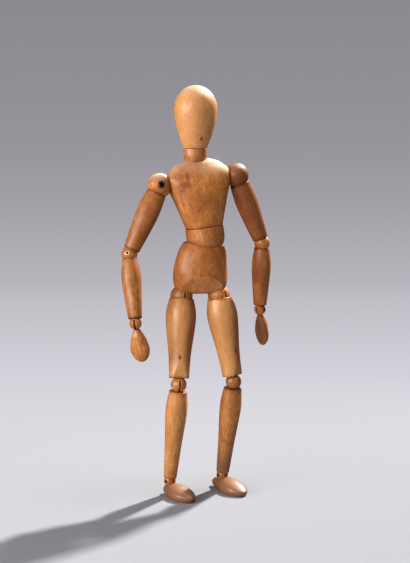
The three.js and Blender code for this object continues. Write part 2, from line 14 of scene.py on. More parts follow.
import bpy
import numpy as np
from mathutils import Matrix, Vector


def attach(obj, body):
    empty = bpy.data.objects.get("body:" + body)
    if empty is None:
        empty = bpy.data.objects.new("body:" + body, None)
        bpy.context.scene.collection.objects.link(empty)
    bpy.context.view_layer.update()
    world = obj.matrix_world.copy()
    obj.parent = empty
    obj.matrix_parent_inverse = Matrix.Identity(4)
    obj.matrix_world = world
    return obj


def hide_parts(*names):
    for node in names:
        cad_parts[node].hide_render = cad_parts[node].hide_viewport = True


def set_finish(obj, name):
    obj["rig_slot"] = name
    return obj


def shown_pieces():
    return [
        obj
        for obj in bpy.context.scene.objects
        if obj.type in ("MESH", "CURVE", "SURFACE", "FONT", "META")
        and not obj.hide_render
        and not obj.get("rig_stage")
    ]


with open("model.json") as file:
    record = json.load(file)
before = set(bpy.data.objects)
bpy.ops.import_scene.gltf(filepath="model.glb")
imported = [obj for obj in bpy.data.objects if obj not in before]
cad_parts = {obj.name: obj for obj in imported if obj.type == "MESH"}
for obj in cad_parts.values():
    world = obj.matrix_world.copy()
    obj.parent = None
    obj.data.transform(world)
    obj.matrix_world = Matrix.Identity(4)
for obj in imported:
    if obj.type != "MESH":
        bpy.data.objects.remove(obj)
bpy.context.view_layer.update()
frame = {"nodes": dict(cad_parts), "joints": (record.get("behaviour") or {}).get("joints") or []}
joints = {row["name"]: row for row in frame["joints"]}

# %% [markdown]
# ## Places
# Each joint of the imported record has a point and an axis. A ball hangs from its peg axis and its
# rivet lies on its bending axis, and a limb hangs along its own turning axis. So the record alone
# says where each piece sits. Only the turn of a knee, a foot or a palm about an upright axis is not
# in the joints, and those few angles are repeated here.

# %% Places from the joints
MM = 0.001
SIDES = ("right", "left")
KNEE_FACING = {"right": 2.0, "left": 45.0}
FOOT_FACING = {"right": 27.0, "left": 24.0}
PALM_FACING = {"right": 150.0, "left": -72.0}
CHEST_FACING = 3.0


def unit(vector):
    """The vector divided by its own length."""
    vector = np.asarray(vector, float)
    return vector / np.linalg.norm(vector)


def across(facing):
    """Level direction at a facing angle in degrees: cosine along X and sine along Y."""
    angle = math.radians(facing)
    return np.array([math.cos(angle), math.sin(angle), 0.0])


def place(origin, up, pin):
    """A frame whose Z axis is up and whose X axis is pin less its share along up."""
    z = unit(up)
    x = unit(np.asarray(pin, float) - np.dot(pin, z) * z)
    return np.asarray(origin, float), np.column_stack([x, np.cross(z, x), z])


def joint_place(up_name, pin):
    """The frame at a joint's point, with the joint's axis upwards."""
    return place(joints[up_name]["pos_m"], joints[up_name]["axis"], pin)


def rivet_axis(title, side):
    """The joint's bending axis, turned to point forward, or to +X at a hip or a knee."""
    axis = np.array(joints[f"{title}_bend_{side}"]["axis"])
    hint = X_AXIS if title in ("hip", "knee") else -Y_AXIS
    return axis if np.dot(axis, hint) > 0 else -axis


X_AXIS = np.array([1.0, 0.0, 0.0])
Y_AXIS = np.array([0.0, 1.0, 0.0])
head_at = joint_place("head_turn", X_AXIS)
waist_at = joint_place("chest_turn", X_AXIS)
print("waist centre in millimetres:", np.round(waist_at[0] / MM, 1))

# %% [markdown]
# ## From arrays to meshes
# A closed skin is a grid of points, wrapped round in one direction. In the other direction it either
# ends in two poles or closes on itself like a ring. Writing the corner numbers as whole arrays keeps
# Python loops away from the vertices. The signed volume tells whether a skin is inside out, and if it
# is, every face is turned over.

# %% Skins


def ring_quads(rows, cols, loop):
    """Corner numbers of the quads between neighbouring rows of a grid that wraps round its columns."""
    row = np.arange(rows if loop else rows - 1)[:, None]
    col = np.arange(cols)[None, :]
    after, above = (col + 1) % cols, (row + 1) % rows
    corners = [row * cols + col, row * cols + after, above * cols + after, above * cols + col]
    return np.stack(np.broadcast_arrays(*corners), -1).reshape(-1, 4)


def outward(points, quads, tris):
    """The same skin, turned over if its signed volume, the sum of a . (b x c) / 6, is below 0."""
    halves = np.concatenate([quads[:, [0, 1, 2]], quads[:, [0, 2, 3]], tris])
    a, b, c = (points[halves[:, k]] for k in range(3))
    volume = np.einsum("ij,ij->i", a, np.cross(b, c)).sum() / 6
    if volume < 0:
        quads, tris = quads[:, ::-1], tris[:, ::-1]
    return points, quads, tris


def ring_skin(grid):
    """A skin that closes on itself both ways, from points of shape (rows, columns, 3)."""
    rows, cols = grid.shape[:2]
    return outward(grid.reshape(-1, 3), ring_quads(rows, cols, True), np.zeros((0, 3), int))


def pole_skin(grid):
    """A skin whose first and last rows each shrink to one point: their mean becomes the pole."""
    rows, cols = grid.shape[0] - 2, grid.shape[1]
    body = grid[1:-1].reshape(-1, 3)
    points = np.concatenate([body, grid[:1].mean(1), grid[-1:].mean(1)])
    col = np.arange(cols)
    after = (col + 1) % cols
    south, north = len(body), len(body) + 1
    top = (rows - 1) * cols
    tris = np.concatenate([
        np.stack([np.full(cols, south), after, col], 1),
        np.stack([np.full(cols, north), top + col, top + after], 1),
    ])
    return outward(points, ring_quads(rows, cols, False), tris)


def join_skins(skins):
    """Several closed skins as one list of points, quads and triangles."""
    starts = np.cumsum([0] + [len(points) for points, _, _ in skins])
    return (
        np.concatenate([points for points, _, _ in skins]),
        np.concatenate([quads + start for (_, quads, _), start in zip(skins, starts)]),
        np.concatenate([tris + start for (_, _, tris), start in zip(skins, starts)]),
    )


def mesh_of(name, points, quads, tris):
    """A Blender mesh from arrays of points, four-cornered faces and three-cornered faces."""
    mesh = bpy.data.meshes.new(name)
    mesh.vertices.add(len(points))
    mesh.vertices.foreach_set("co", points.astype(np.float32).ravel())
    corners = np.concatenate([quads.ravel(), tris.ravel()])
    starts = np.concatenate([4 * np.arange(len(quads)), 4 * len(quads) + 3 * np.arange(len(tris))])
    mesh.loops.add(len(corners))
    mesh.loops.foreach_set("vertex_index", corners.astype(np.int32))
    mesh.polygons.add(len(starts))
    mesh.polygons.foreach_set("loop_start", starts.astype(np.int32))
    mesh.update(calc_edges=True)
    mesh.shade_smooth()
    return mesh


def write_layer(mesh, title, values):
    """Stores one number or one vector for each vertex under a title."""
    kind, key = ("FLOAT_VECTOR", "vector") if values.ndim > 1 else ("FLOAT", "value")
    layer = mesh.attributes.new(title, kind, "POINT")
    layer.data.foreach_set(key, values.astype(np.float32).ravel())


def link(name, data):
    """A new object in the scene, at the origin."""
    thing = bpy.data.objects.new(name, data)
    bpy.context.scene.collection.objects.link(thing)
    return thing


def put(name, mesh, body, node, slot_name):
    """Makes the mesh an object that rides on a body, stands for a node and has a slot."""
    piece = link(name, mesh)
    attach(piece, body)
    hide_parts(node)
    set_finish(piece, slot_name)
    return piece


def spread(grid):
    """Width, depth and height of a grid of points, in millimetres to one place."""
    return np.round(np.ptp(grid.reshape(-1, 3), axis=0), 1)


print("a ring of 3 by 4 points has", len(ring_quads(3, 4, True)), "quads")

# %% [markdown]
# ## Marks that follow the piece
# Wood grain belongs to the block it was cut from, so it has to move and turn with the piece. Each
# wooden mesh therefore carries its own coordinates as an attribute called grain, in millimetres along
# the piece's own axes and counted from the heart of the log. A second attribute called marks holds
# three numbers: the distance to the nearest knot, the amount of stain and of painted side shade, and
# the tone. The tone is the block's own, with painted shade on a few pieces and at the rims where the
# parts meet, painted highlights on a few spots and painted light on flats that face partly down. A
# third called wear holds how worn the spot is, how much dust and whitish painted highlight its upward
# faces carry, and how little varnish is left.

# %% Wooden pieces
NO_KNOT = 40.0
VIEW_TURN = -10.0
WOOD_SLOT, JOINT_SLOT = "limb_wood", "joint_wood"
made = {}


def seen_spot(up, right, radius, facing=0.0):
    """Point of a turned piece that the camera sees, from its height, offset to the right and radius."""
    ahead = math.sqrt(max(radius**2 - right**2, 0.0))
    turn = math.radians(facing - VIEW_TURN)
    x = right * math.cos(turn) - ahead * math.sin(turn)
    return x, -right * math.sin(turn) - ahead * math.cos(turn), up


KNOTS = {
    "thigh_right": [seen_spot(-60, 0.7, 10.6, KNEE_FACING["right"])],
    "thigh_left": [seen_spot(-55, 7.0, 10.9, KNEE_FACING["left"])],
    "head": [seen_spot(15, 5.9, 14.6)],
    "pelvis": [(4.0, -18.0, -40.0)],
}
# Stains, and long patches of painted shade on the shaded right sides of the right upper arm and both thighs.
STAINS_AND_SIDE_SHADE = {
    "head": [(seen_spot(13, -9, 14), (5, 5, 7), 0.30), (seen_spot(20, 12, 17), (5, 6, 9), 0.30)],
    "chest": [
        ((-17.0, -15, 52), (6.0, 10, 3.6), 1.0), ((-13.5, -15, 60), (2.6, 10, 6.0), 0.85),
        ((-20, -14, 47), (4.0, 10, 3.0), 0.80), ((-24, -10, 62), (7, 10, 6), 0.45),
        ((6, -19, 32), (9, 9, 9), 0.30),
    ],
    "neck": [(seen_spot(-4, 3, 11), (6, 6, 4), 0.35)],
    "upper_arm_right": [
        (seen_spot(-24, -3, 10.5), (7, 7, 9), 0.55), (seen_spot(-38, 8.5, 9.8), (5, 6, 34), 0.60)],
    "upper_arm_left": [
        (seen_spot(-22, -6, 10.5), (5, 6, 8), 0.7), (seen_spot(-42, -1, 9.8), (5, 6, 10), 0.6)],
    "forearm_right": [(seen_spot(-15, 5, 9), (4, 6, 14), 0.35)],
    "forearm_left": [(seen_spot(-25, -5, 9.2), (4, 6, 22), 0.75), (seen_spot(-44, 2, 8.2), (3, 6, 12), 0.5)],
    "hand_right": [((-3, 5, -18), (6, 6, 6), 0.3)],
    "thigh_right": [(seen_spot(-40, 12.0, 13.5, KNEE_FACING["right"]), (8, 8, 44), 0.90)],
    "thigh_left": [(seen_spot(-45, 11.5, 12.8, KNEE_FACING["left"]), (8, 8, 44), 0.95)],
    "pelvis": [((-12, -15, -26), (9, 12, 10), 0.36), ((4, -17, -24), (9, 12, 9), 0.36)],
    "shin_right": [(seen_spot(-88, 2, 7, KNEE_FACING["right"]), (6, 6, 9), 0.35)],
    "foot_right": [((-2, -14, -2), (7, 7, 5), 0.45)],
    "foot_left": [((6, -4, -4), (6, 7, 6), 0.35)],
}
WORN = {
    "foot_right": [((0, -10, -8), (90, 90, 90), 0.80)], "foot_left": [((0, -10, -8), (90, 90, 90), 0.80)],
    "shin_left": [((0, 0, -86), (40, 40, 17), 0.95)], "hand_left": [((0, -3.0, -22), (10, 3.0, 16), 1.0)],
    "hip_ball_right": [((0, 0, 0), (40, 40, 40), 0.4)], "knee_ball_left": [((0, 0, 0), (40, 40, 40), 0.4)],
}
# Painted highlights: a pale spot on the waist's front and one on the chest's upper right.
PAINTED_HIGHLIGHTS = {
    "waist": [(seen_spot(4, -6, 18), (7, 9, 5), 0.20)], "chest": [((15, -11, 66), (13, 9, 9), 0.80)],
}
# Tone of each block; the left shoulder ball and left upper arm are darkened as painted shade of the head and
# chest.
TONES_AND_SHADE = {
    "head": 0.36, "neck": -0.12, "chest": -0.04, "waist": -0.09, "pelvis": -0.22, "shoulder_ball_left": -0.74,
    "upper_arm_right": -0.36, "upper_arm_left": -0.64, "forearm_right": -0.26, "forearm_left": -0.34,
    "hand_left": -0.30, "thigh_right": 0.30, "thigh_left": 0.38, "shin_right": 0.18, "shin_left": 0.06,
    "foot_right": -0.46, "foot_left": -0.46,
}
MATT = {
    "head": 0.4, "chest": 0.45, "pelvis": 0.7, "shoulder_ball_right": 0.5, "shoulder_ball_left": 0.5,
    "upper_arm_right": 0.55, "upper_arm_left": 0.5, "forearm_right": 0.45, "forearm_left": 0.45,
    "hip_ball_right": 0.3, "hip_ball_left": 0.6,
}
# Dust on upward faces together with a whitish painted highlight, for each piece.
DUST_AND_SHEEN = {
    "head": 1.0, "chest": 1.2, "shoulder_ball_right": 1.3, "shoulder_ball_left": 0.4, "foot_right": 0.08,
    "foot_left": 0.06,
}
# How much painted light makes each flat, which faces partly down, paler.
FLAT_PAINTED_LIGHT = {"pelvis": 0.38, "thigh_right": 0.14, "thigh_left": 0.05}
# Rims get painted shade where the parts meet.
RIM_WIDTH, RIM_SHADE, FLAT_SKIN = 1.5, 0.55, 0.4
GOLDEN_TURN = 2.39996
KNOT_SQUEEZE = np.array([1.0, 1.0, 0.45])
UP_FROM = 0.34
RIMLESS = ("head", "foot_right", "foot_left", "waist")


def log_offset(number):
    """Where a block lay in its log: a heart off the axis, at an angle that steps by the golden turn."""
    angle = GOLDEN_TURN * number
    reach = 26.0 + 9.0 * math.sin(1.7 * number)
    return np.array([reach * math.cos(angle), reach * math.sin(angle), 137.0 * number % 900.0])


def nearest(local, spots):
    """Distance from each point to the nearest spot, with the grain's direction squeezed to under a half."""
    away = [np.linalg.norm((local - np.array(spot)) * KNOT_SQUEEZE, axis=1) for spot in spots]
    return np.minimum.reduce([*away, np.full(len(local), NO_KNOT)])


def patch_share(local, patches):
    """Largest share of the patches at each point, each falling off as a bell from its own centre."""
    shares = [
        strength * np.exp(-(((local - np.array(centre)) / np.array(size)) ** 2).sum(1))
        for centre, size, strength in patches
    ]
    return np.maximum.reduce([*shares, np.zeros(len(local))])


def rim_shade_share(local):
    """Share of painted shade at the rims: 1 at the piece's highest and lowest levels, falling off over the
    rim's width.
    """
    up = local[:, 2]
    return np.exp(-(((up.max() - up) / RIM_WIDTH) ** 2)) + np.exp(-(((up - up.min()) / RIM_WIDTH) ** 2))


def upward_share(mesh):
    """How far each vertex faces up, from 0 at 20 degrees above level to 1 straight up."""
    normals = np.empty(3 * len(mesh.vertices), np.float32)
    mesh.vertex_normals.foreach_get("vector", normals)
    return np.clip((normals[2::3] - UP_FROM) / (1 - UP_FROM), 0, 1)


def lay_wood(node, skins, at, slot_name, off_flat=None):
    """Puts a wooden piece in its place with its grain, marks and wear; painted light makes it paler where
    off_flat is near 0.
    """
    name = node + "_wood"
    local, quads, tris = join_skins(skins)
    origin, turn = at
    mesh = mesh_of(name, local @ turn.T * MM + origin, quads, tris)
    # The tone adds painted highlights, then painted shade at the rims and painted light on the flat.
    tone_and_painted_light = TONES_AND_SHADE.get(node, 0.0) + patch_share(local, PAINTED_HIGHLIGHTS.get(node, []))
    # Painted shade darkens the rims where the parts meet.
    if slot_name == WOOD_SLOT and node not in RIMLESS:
        tone_and_painted_light = tone_and_painted_light - RIM_SHADE * rim_shade_share(local)
    if off_flat:
        tone_and_painted_light = tone_and_painted_light + FLAT_PAINTED_LIGHT[node] * np.exp(-((off_flat(local) / FLAT_SKIN) ** 2))
    # Stains include long patches of painted shade; upward faces get dust with a whitish painted highlight.
    knot, stain_and_shade = nearest(local, KNOTS.get(node, [])), patch_share(local, STAINS_AND_SIDE_SHADE.get(node, []))
    worn, upward_dust_and_sheen = patch_share(local, WORN.get(node, [])), DUST_AND_SHEEN.get(node, 0.0) * upward_share(mesh)
    write_layer(mesh, "grain", local + log_offset(len(made) + 1))
    write_layer(mesh, "marks", np.stack([knot, stain_and_shade, tone_and_painted_light], 1))
    write_layer(mesh, "wear", np.stack([worn, upward_dust_and_sheen, np.full(len(local), MATT.get(node, 0.0))], 1))
    made[name] = put(name, mesh, node, node, slot_name)


print("blocks with a knot:", len(KNOTS), "and with stains:", len(STAINS_AND_SIDE_SHADE))

# %% [markdown]
# ## Turned profiles
# Nearly every piece of the figure comes off a lathe. A lathe piece is a profile, a list of radius and
# height, carried once round an axis. The profile is first resampled in even steps and then blurred a
# little along its length. The blur rounds each corner the way sandpaper does, so rims catch the light.

# %% Profiles
GAP = 0.3
EASE = 0.32
STEP = 0.5


def arc(radius, start, stop, count=40):
    """Points of a circle as (radius, height): radius times sine and cosine, with angle 0 upwards."""
    angle = np.linspace(start, stop, count)
    return np.stack([radius * np.sin(angle), radius * np.cos(angle)], 1)


def spline(stations, count=120):
    """Curve through the stations whose slope at each one is half the step between its two neighbours."""
    p = np.asarray(stations, float)
    last = len(p) - 1
    t = np.linspace(0, last, count)
    i = np.minimum(t.astype(int), last - 1)
    w = (t - i)[:, None]
    p0, p1, p2, p3 = (p[np.clip(i + k, 0, last)] for k in (-1, 0, 1, 2))
    v1, v2 = (p2 - p0) / 2, (p3 - p1) / 2
    return (2 * p1 - 2 * p2 + v1 + v2) * w**3 + (3 * p2 - 3 * p1 - 2 * v1 - v2) * w**2 + v1 * w + p1


def even(points, step):
    """The same polyline with points at even distances along it."""
    length = np.concatenate([[0], np.cumsum(np.linalg.norm(np.diff(points, axis=0), axis=1))])
    at = np.linspace(0, length[-1], max(8, int(length[-1] / step)) + 1)
    return np.stack([np.interp(at, length, points[:, k]) for k in (0, 1)], 1)


def sanded(points, step=STEP, ease=EASE, loop=False):
    """An even profile averaged with a bell-shaped weight about ease wide, which rounds its corners."""
    points = even(np.concatenate([points, points[:1]]) if loop else np.asarray(points, float), step)
    points = points[:-1] if loop else points
    reach = max(2, int(3 * ease / step))
    weight = np.exp(-0.5 * (np.arange(-reach, reach + 1) * step / ease) ** 2)
    weight /= weight.sum()
    padded = np.pad(points, ((reach, reach), (0, 0)), mode="wrap" if loop else "edge")
    soft = np.stack([np.convolve(padded[:, k], weight, "valid") for k in (0, 1)], 1)
    if not loop:
        soft[[0, -1]] = points[[0, -1]]
    return soft


def lathe(profile, sides):
    """Grid of a profile turned about Z: x and y are the radius times cosine and sine, and z is the height."""
    around = np.linspace(0, 2 * np.pi, sides, endpoint=False)
    radius, height = profile[:, :1], profile[:, 1:]
    return np.stack([
        radius * np.cos(around), radius * np.sin(around), np.broadcast_to(height, (len(profile), sides)),
    ], -1)


print("a ball profile eased from", len(arc(8, 0, math.pi)), "points to", len(sanded(arc(8, 0, math.pi))))

# %% [markdown]
# ## Ball joints
# The figure's joints are split wooden balls. A flat steel tang swings in the split on a hollow rivet,
# and the limb turns on the tang. The sizes are those of the solids. A split ball is two cheeks, each
# turned about the rivet's axis with its bore and the seat of the rivet's head, and a bridge between
# them above the slot. The bridge is found as the surface where a field of distances is zero, along
# rays from a point inside it. That way also makes the carved blocks further on.

# %% Joint sizes and the ray surface
Joint = namedtuple("Joint", "ball rivet hole head lip tang eye width reach peg peg_length")
SHOULDER = Joint(23.8, 5.2, 4.2, 6.8, 0.6, 1.4, 9.6, 5.0, 14.0, 8.0, 9.0)
ELBOW = Joint(15.5, 3.0, 2.2, 4.4, 0.5, 1.0, 6.4, 3.4, 11.0, 5.0, 8.0)
WRIST = Joint(11.5, 2.2, 1.4, 3.2, 0.4, 0.9, 4.8, 2.6, 9.0, 4.0, 7.0)
HIP = Joint(21.8, 4.0, 3.0, 5.2, 0.6, 1.2, 8.2, 4.6, 14.0, 8.0, 9.0)
KNEE = ELBOW._replace(ball=15.2)
ANKLE = WRIST._replace(ball=11.6, reach=5.0)


def soft_most(ease, *fields):
    """The largest of several fields, with a rounded corner about ease wide where two are nearly equal."""
    out = fields[0]
    for field in fields[1:]:
        share = np.clip(0.5 + 0.5 * (out - field) / ease, 0, 1)
        out = field + (out - field) * share + ease * share * (1 - share)
    return out


def ray_surface(field, centre, rows, cols, reach, steps=90, halvings=26):
    """Grid of points where the field first rises above 0 along rays from the centre, by steps and halving."""
    tilt = np.linspace(0, np.pi, rows)[:, None]
    turn = np.linspace(0, 2 * np.pi, cols, endpoint=False)[None, :]
    ray = np.stack(np.broadcast_arrays(
        np.sin(tilt) * np.cos(turn), np.sin(tilt) * np.sin(turn), -np.cos(tilt) + 0 * turn), -1)
    low = np.zeros((rows, cols))
    going = np.ones((rows, cols), bool)
    for far in np.linspace(0, reach, steps + 1)[1:]:
        going &= field(centre + ray * far) < 0
        low = np.where(going, far, low)
    high = low + reach / steps
    for _ in range(halvings):
        mid = (low + high) / 2
        inside = field(centre + ray * mid[..., None]) < 0
        low, high = np.where(inside, mid, low), np.where(inside, high, mid)
    return centre + ray * low[..., None]


def rivet_face(joint):
    """Distance from the ball's centre to the outer face of a rivet head, just under the wood's surface."""
    return math.sqrt((joint.ball / 2) ** 2 - (joint.head / 2) ** 2) - GAP / 2


print("shoulder rivet is", round(2 * rivet_face(SHOULDER), 1), "mm long")

# %% Split balls
BLIND = {
    ("shoulder", "left"): 1, ("elbow", "left"): 1, ("knee", "left"): -1,
    ("hip", "right"): -1, ("hip", "left"): -1,
}
BRIDGE_LAP, BRIDGE_SINK = 0.5, 0.02


def blind_end(joint):
    """How far a blind rivet reaches past the ball's middle: half the tang and the rivet's own width."""
    return joint.tang / 2 + joint.rivet


def ball_skins(joint, with_peg, blind):
    """Two cheeks turned about X, a bridge inside the sphere above the slot, and a peg that runs in a limb."""
    radius, half = joint.ball / 2, joint.tang / 2 + GAP
    bore, seat = joint.rivet / 2 + GAP, joint.head / 2 + GAP
    seat_at = rivet_face(joint) - joint.lip - GAP
    edge = math.acos(half / radius)
    rim = math.asin(seat / radius)
    outline = np.concatenate([[[bore, half]], arc(radius, edge, rim, 60), [[seat, seat_at], [bore, seat_at]]])
    cheek = lathe(sanded(outline, 0.3, 0.2, loop=True), 96)[..., [2, 0, 1]]
    roof = joint.eye / 2 + GAP

    def bridge(p):
        """Slab between the cheeks, above the slot's roof and just inside the sphere."""
        sphere = np.linalg.norm(p, axis=-1) - radius + BRIDGE_SINK
        return np.maximum.reduce([np.abs(p[..., 0]) - half - BRIDGE_LAP, roof - p[..., 2], sphere])

    slab = ray_surface(bridge, np.array([0, 0, (roof + radius) / 2]), 72, 144, radius)
    stop = blind_end(joint) + GAP
    whole = np.concatenate([[[0, stop], [bore, stop], [bore, half]], arc(radius, edge, 0, 60)])
    dome = lathe(sanded(whole, 0.3, 0.2), 96)[..., [2, 0, 1]]
    skins = [pole_skin(slab)]
    for sign in (1, -1):
        mirror = [sign, 1, 1]
        skins.append(pole_skin(dome * mirror) if blind == sign else ring_skin(cheek * mirror))
    if with_peg:
        peg, top = joint.peg / 2, radius + joint.peg_length
        rod = [[0, radius - 1], [peg, radius - 1], [peg, top], [0, top]]
        skins.append(pole_skin(lathe(sanded(rod), 48)))
    return skins


JOINT_RUN = (
    ("shoulder", SHOULDER, False), ("elbow", ELBOW, True), ("wrist", WRIST, True),
    ("hip", HIP, False), ("knee", KNEE, True), ("ankle", ANKLE, True),
)
for side in SIDES:
    for title, joint, with_peg in JOINT_RUN:
        node = f"{title}_ball_{side}"
        at = joint_place(f"{title}_turn_{side}", rivet_axis(title, side))
        skins = ball_skins(joint, with_peg, BLIND.get((title, side), 0))
        lay_wood(node, skins, at, JOINT_SLOT)
print("balls:", len(made))

# %% [markdown]
# ## Turned limbs
# An upper arm, forearm, thigh or shin is one turned profile: up the peg hole, out over the lower cup,
# along the swelling skin, in over the upper cup and down the bore of the tang. The thigh also has a
# flat sanded on the front of its lower end, so that the knee can bend. The flat is a plane, and each
# point in front of it is moved back onto it.

# %% Limbs
Limb = namedtuple("Limb", "length top_at top belly belly_at slim slim_at end_at end")
UPPER_ARM = Limb(72.2, 8.4, 19.4, 21.8, 27.0, 19.2, 48.0, 5.0, 15.4)
FOREARM = Limb(67.0, 5.0, 14.8, 18.8, 22.0, 16.2, 44.0, 4.7, 12.8)
THIGH = Limb(85.6, 2.6, 23.8, 29.6, 21.0, 21.6, 57.0, 6.2, 19.4)
SHIN = Limb(97.5, 6.3, 17.2, 21.0, 26.0, 16.4, 61.0, 3.6, 12.6)
FLAT_DEPTH, FLAT_LENGTH = 2.9, 11.4
LIMB_SIDES = 96


def limb_profile(limb, upper, lower):
    """Closed profile of a limb from the peg hole's end to the tang bore's end, with its corners eased."""
    top_cup, end_cup = upper.ball / 2 + GAP, lower.ball / 2 + GAP
    tang_bore = math.hypot(upper.width, upper.tang) / 2 + GAP
    peg_bore = lower.peg / 2 + GAP
    tang_end = -(upper.ball / 2 + upper.reach + GAP)
    peg_end = -limb.length + lower.ball / 2 + lower.peg_length + GAP
    end_mouth = arc(end_cup, math.asin(peg_bore / end_cup), math.acos(limb.end_at / end_cup))
    rim, inner = math.acos(limb.top_at / top_cup), math.asin(tang_bore / top_cup)
    top_mouth = arc(top_cup, np.pi - rim, np.pi - inner)
    skin = spline([
        [limb.end / 2, limb.end_at - limb.length], [limb.slim / 2, -limb.slim_at],
        [limb.belly / 2, -limb.belly_at], [limb.top / 2, -limb.top_at],
    ])
    return sanded(np.concatenate([
        [[0, peg_end], [peg_bore, peg_end]], end_mouth - [0, limb.length], skin, top_mouth,
        [[tang_bore, tang_end], [0, tang_end]],
    ]))


def behind_flat(p):
    """How far each point lies behind the plane of the thigh's flat, measured to the back."""
    lean = math.atan2(FLAT_DEPTH, FLAT_LENGTH)
    height = p[..., 2] - (THIGH.end_at - THIGH.length)
    return p[..., 1] - (FLAT_DEPTH - THIGH.end / 2 - height * math.tan(lean))


def shave_front(grid):
    """Moves what lies in front of the flat's plane back onto it."""
    shaved = grid.copy()
    shaved[..., 1] -= np.minimum(behind_flat(grid), 0)
    return shaved


LIMB_RUN = (
    ("upper_arm", UPPER_ARM, SHOULDER, ELBOW), ("forearm", FOREARM, ELBOW, WRIST),
    ("thigh", THIGH, HIP, KNEE), ("shin", SHIN, KNEE, ANKLE),
)
for side in SIDES:
    for title, limb, upper, lower in LIMB_RUN:
        node = f"{title}_{side}"
        pin = across(KNEE_FACING[side]) if title in ("thigh", "shin") else X_AXIS
        grid = lathe(limb_profile(limb, upper, lower), LIMB_SIDES)
        grid = shave_front(grid) if title == "thigh" else grid
        at = joint_place(f"{title}_turn_{side}", pin)
        lay_wood(node, [pole_skin(grid)], at, WOOD_SLOT, behind_flat if title == "thigh" else None)
print("limbs and balls:", len(made))

# %% [markdown]
# ## Head, neck and waist
# The head is an egg whose lower part tapers by a power curve and whose crown is half an ellipse. The
# neck and the waist are round below and straight above, with a spigot on top that the next block turns
# on. Each has a slot for its tang. The slot's outline seen from below is a rounded oblong, and where
# it opens, the sphere starts at an angle that depends on the direction, so the grid stays whole.

# %% Head
HEAD = namedtuple("Head", "height width widest_at seam power")(60.2, 41.5, 37.9, 21.6, 1.8)
Knuckle = namedtuple("Knuckle", "ball top_at spigot spigot_length pin tang eye width swing")
NECK = Knuckle(22.4, 5.8, 8.0, 12.0, 2.6, 1.4, 6.4, 4.0, 28.0)
WAIST = Knuckle(37.2, 8.7, 12.0, 10.0, 3.4, 2.0, 8.4, 6.0, 24.0)


def head_profile():
    """Egg outline: half width less its shrink times (1 - height share) to a power, then half an ellipse."""
    half, widest = HEAD.width / 2, HEAD.widest_at
    height = np.linspace(0, widest, 60)
    cheek = half * (1 - (1 - HEAD.seam / HEAD.width) * (1 - height / widest) ** HEAD.power)
    crown = arc(1.0, np.pi / 2, 0, 60) * [half, HEAD.height - widest] + [0, widest]
    bore, bore_top = NECK.spigot / 2 + GAP, NECK.spigot_length + GAP
    return sanded(np.concatenate([
        [[0, bore_top], [bore, bore_top], [bore, 0]], np.stack([cheek, height], 1), crown[1:],
    ]))


head_grid = lathe(head_profile(), 160) + [0, 0, NECK.top_at + GAP]
lay_wood("head", [pole_skin(head_grid)], head_at, WOOD_SLOT)
print("head:", spread(head_grid), "mm")

# %% Neck and waist
OBLONG_POWER = 10.0
MOUTH_ROOM = 0.6
WELL_DEPTH, WELL_EDGE = 0.9, 0.2
TOP_EASE = 0.4


def oblong(around, half_x, half_y):
    """Radius of a rounded oblong at each angle: (|cos / a|^n + |sin / b|^n) to the power -1 / n."""
    n = OBLONG_POWER
    return (np.abs(np.cos(around) / half_x) ** n + np.abs(np.sin(around) / half_y) ** n) ** (-1 / n)


def knuckle_grid(block, sides):
    """Rows of the slot's roof and walls, the sphere up to its equator, the straight side, top and spigot."""
    radius, spigot = block.ball / 2, block.spigot / 2
    roof = block.eye / 2 + GAP
    mouth = block.width / 2 + radius * math.tan(math.radians(block.swing)) + MOUTH_ROOM
    around = np.linspace(0, 2 * np.pi, sides, endpoint=False)
    thin = block.tang / 2 + GAP
    inner, outer = oblong(around, roof, thin), oblong(around, mouth, thin)
    start = np.arcsin(outer / radius)
    rows = [np.stack([0 * around, roof + 0 * around]), np.stack([inner, roof + 0 * around])]
    steps = np.linspace(0, 1, 16)
    rows += [np.stack([inner + (outer - inner) * s, -radius * np.cos(start) * s]) for s in steps]
    angles = [start + (np.pi / 2 - start) * s for s in np.linspace(0, 1, 48)[1:]]
    rows += [np.stack([radius * np.sin(a), -radius * np.cos(a)]) for a in angles]
    bend = np.array([radius, block.top_at - TOP_EASE])
    wall = even(np.array([[radius, 0], bend]), TOP_EASE)[1:]
    shoulder = arc(TOP_EASE, np.pi / 2, 0, 5)[1:] + bend - [TOP_EASE, 0]
    top = block.top_at + block.spigot_length
    stub = np.array([[spigot, block.top_at], [spigot, top], [0, top]])
    rest = np.concatenate([wall, shoulder, stub])
    rows += [np.stack([r + 0 * around, h + 0 * around]) for r, h in rest]
    reach, height = np.stack([row[0] for row in rows]), np.stack([row[1] for row in rows])
    grid = np.stack([reach * np.cos(around), reach * np.sin(around), height], -1)
    return sink_pin_well(grid, block)


def sink_pin_well(grid, block):
    """A round well at the back for the cross pin's end: points near the pin's axis are moved to its floor."""
    near = np.hypot(grid[..., 0], grid[..., 2])
    share = np.clip((block.pin / 2 + GAP + WELL_EDGE - near) / WELL_EDGE, 0, 1)
    skin = (grid[..., 1] > 0.8 * block.ball / 2) * share
    sunk = grid.copy()
    sunk[..., 1] -= skin * WELL_DEPTH
    return sunk


lay_wood("neck", [pole_skin(knuckle_grid(NECK, 240))], head_at, JOINT_SLOT)
lay_wood("waist", [pole_skin(knuckle_grid(WAIST, 300))], waist_at, JOINT_SLOT)
print("neck and waist stand", NECK.top_at, "and", WAIST.top_at, "mm above their centres")

# %% [markdown]
# ## Carved blocks
# The chest, the pelvis, the hands and the feet are not round. Each is the space inside several simple
# fields at once: an oval column, flat faces, and the outside of the balls that seat in it. A field is
# a rough distance to its own surface, below zero inside. Taking the largest field with a rounded
# corner eases every edge, and rays from inside the block then find the skin.

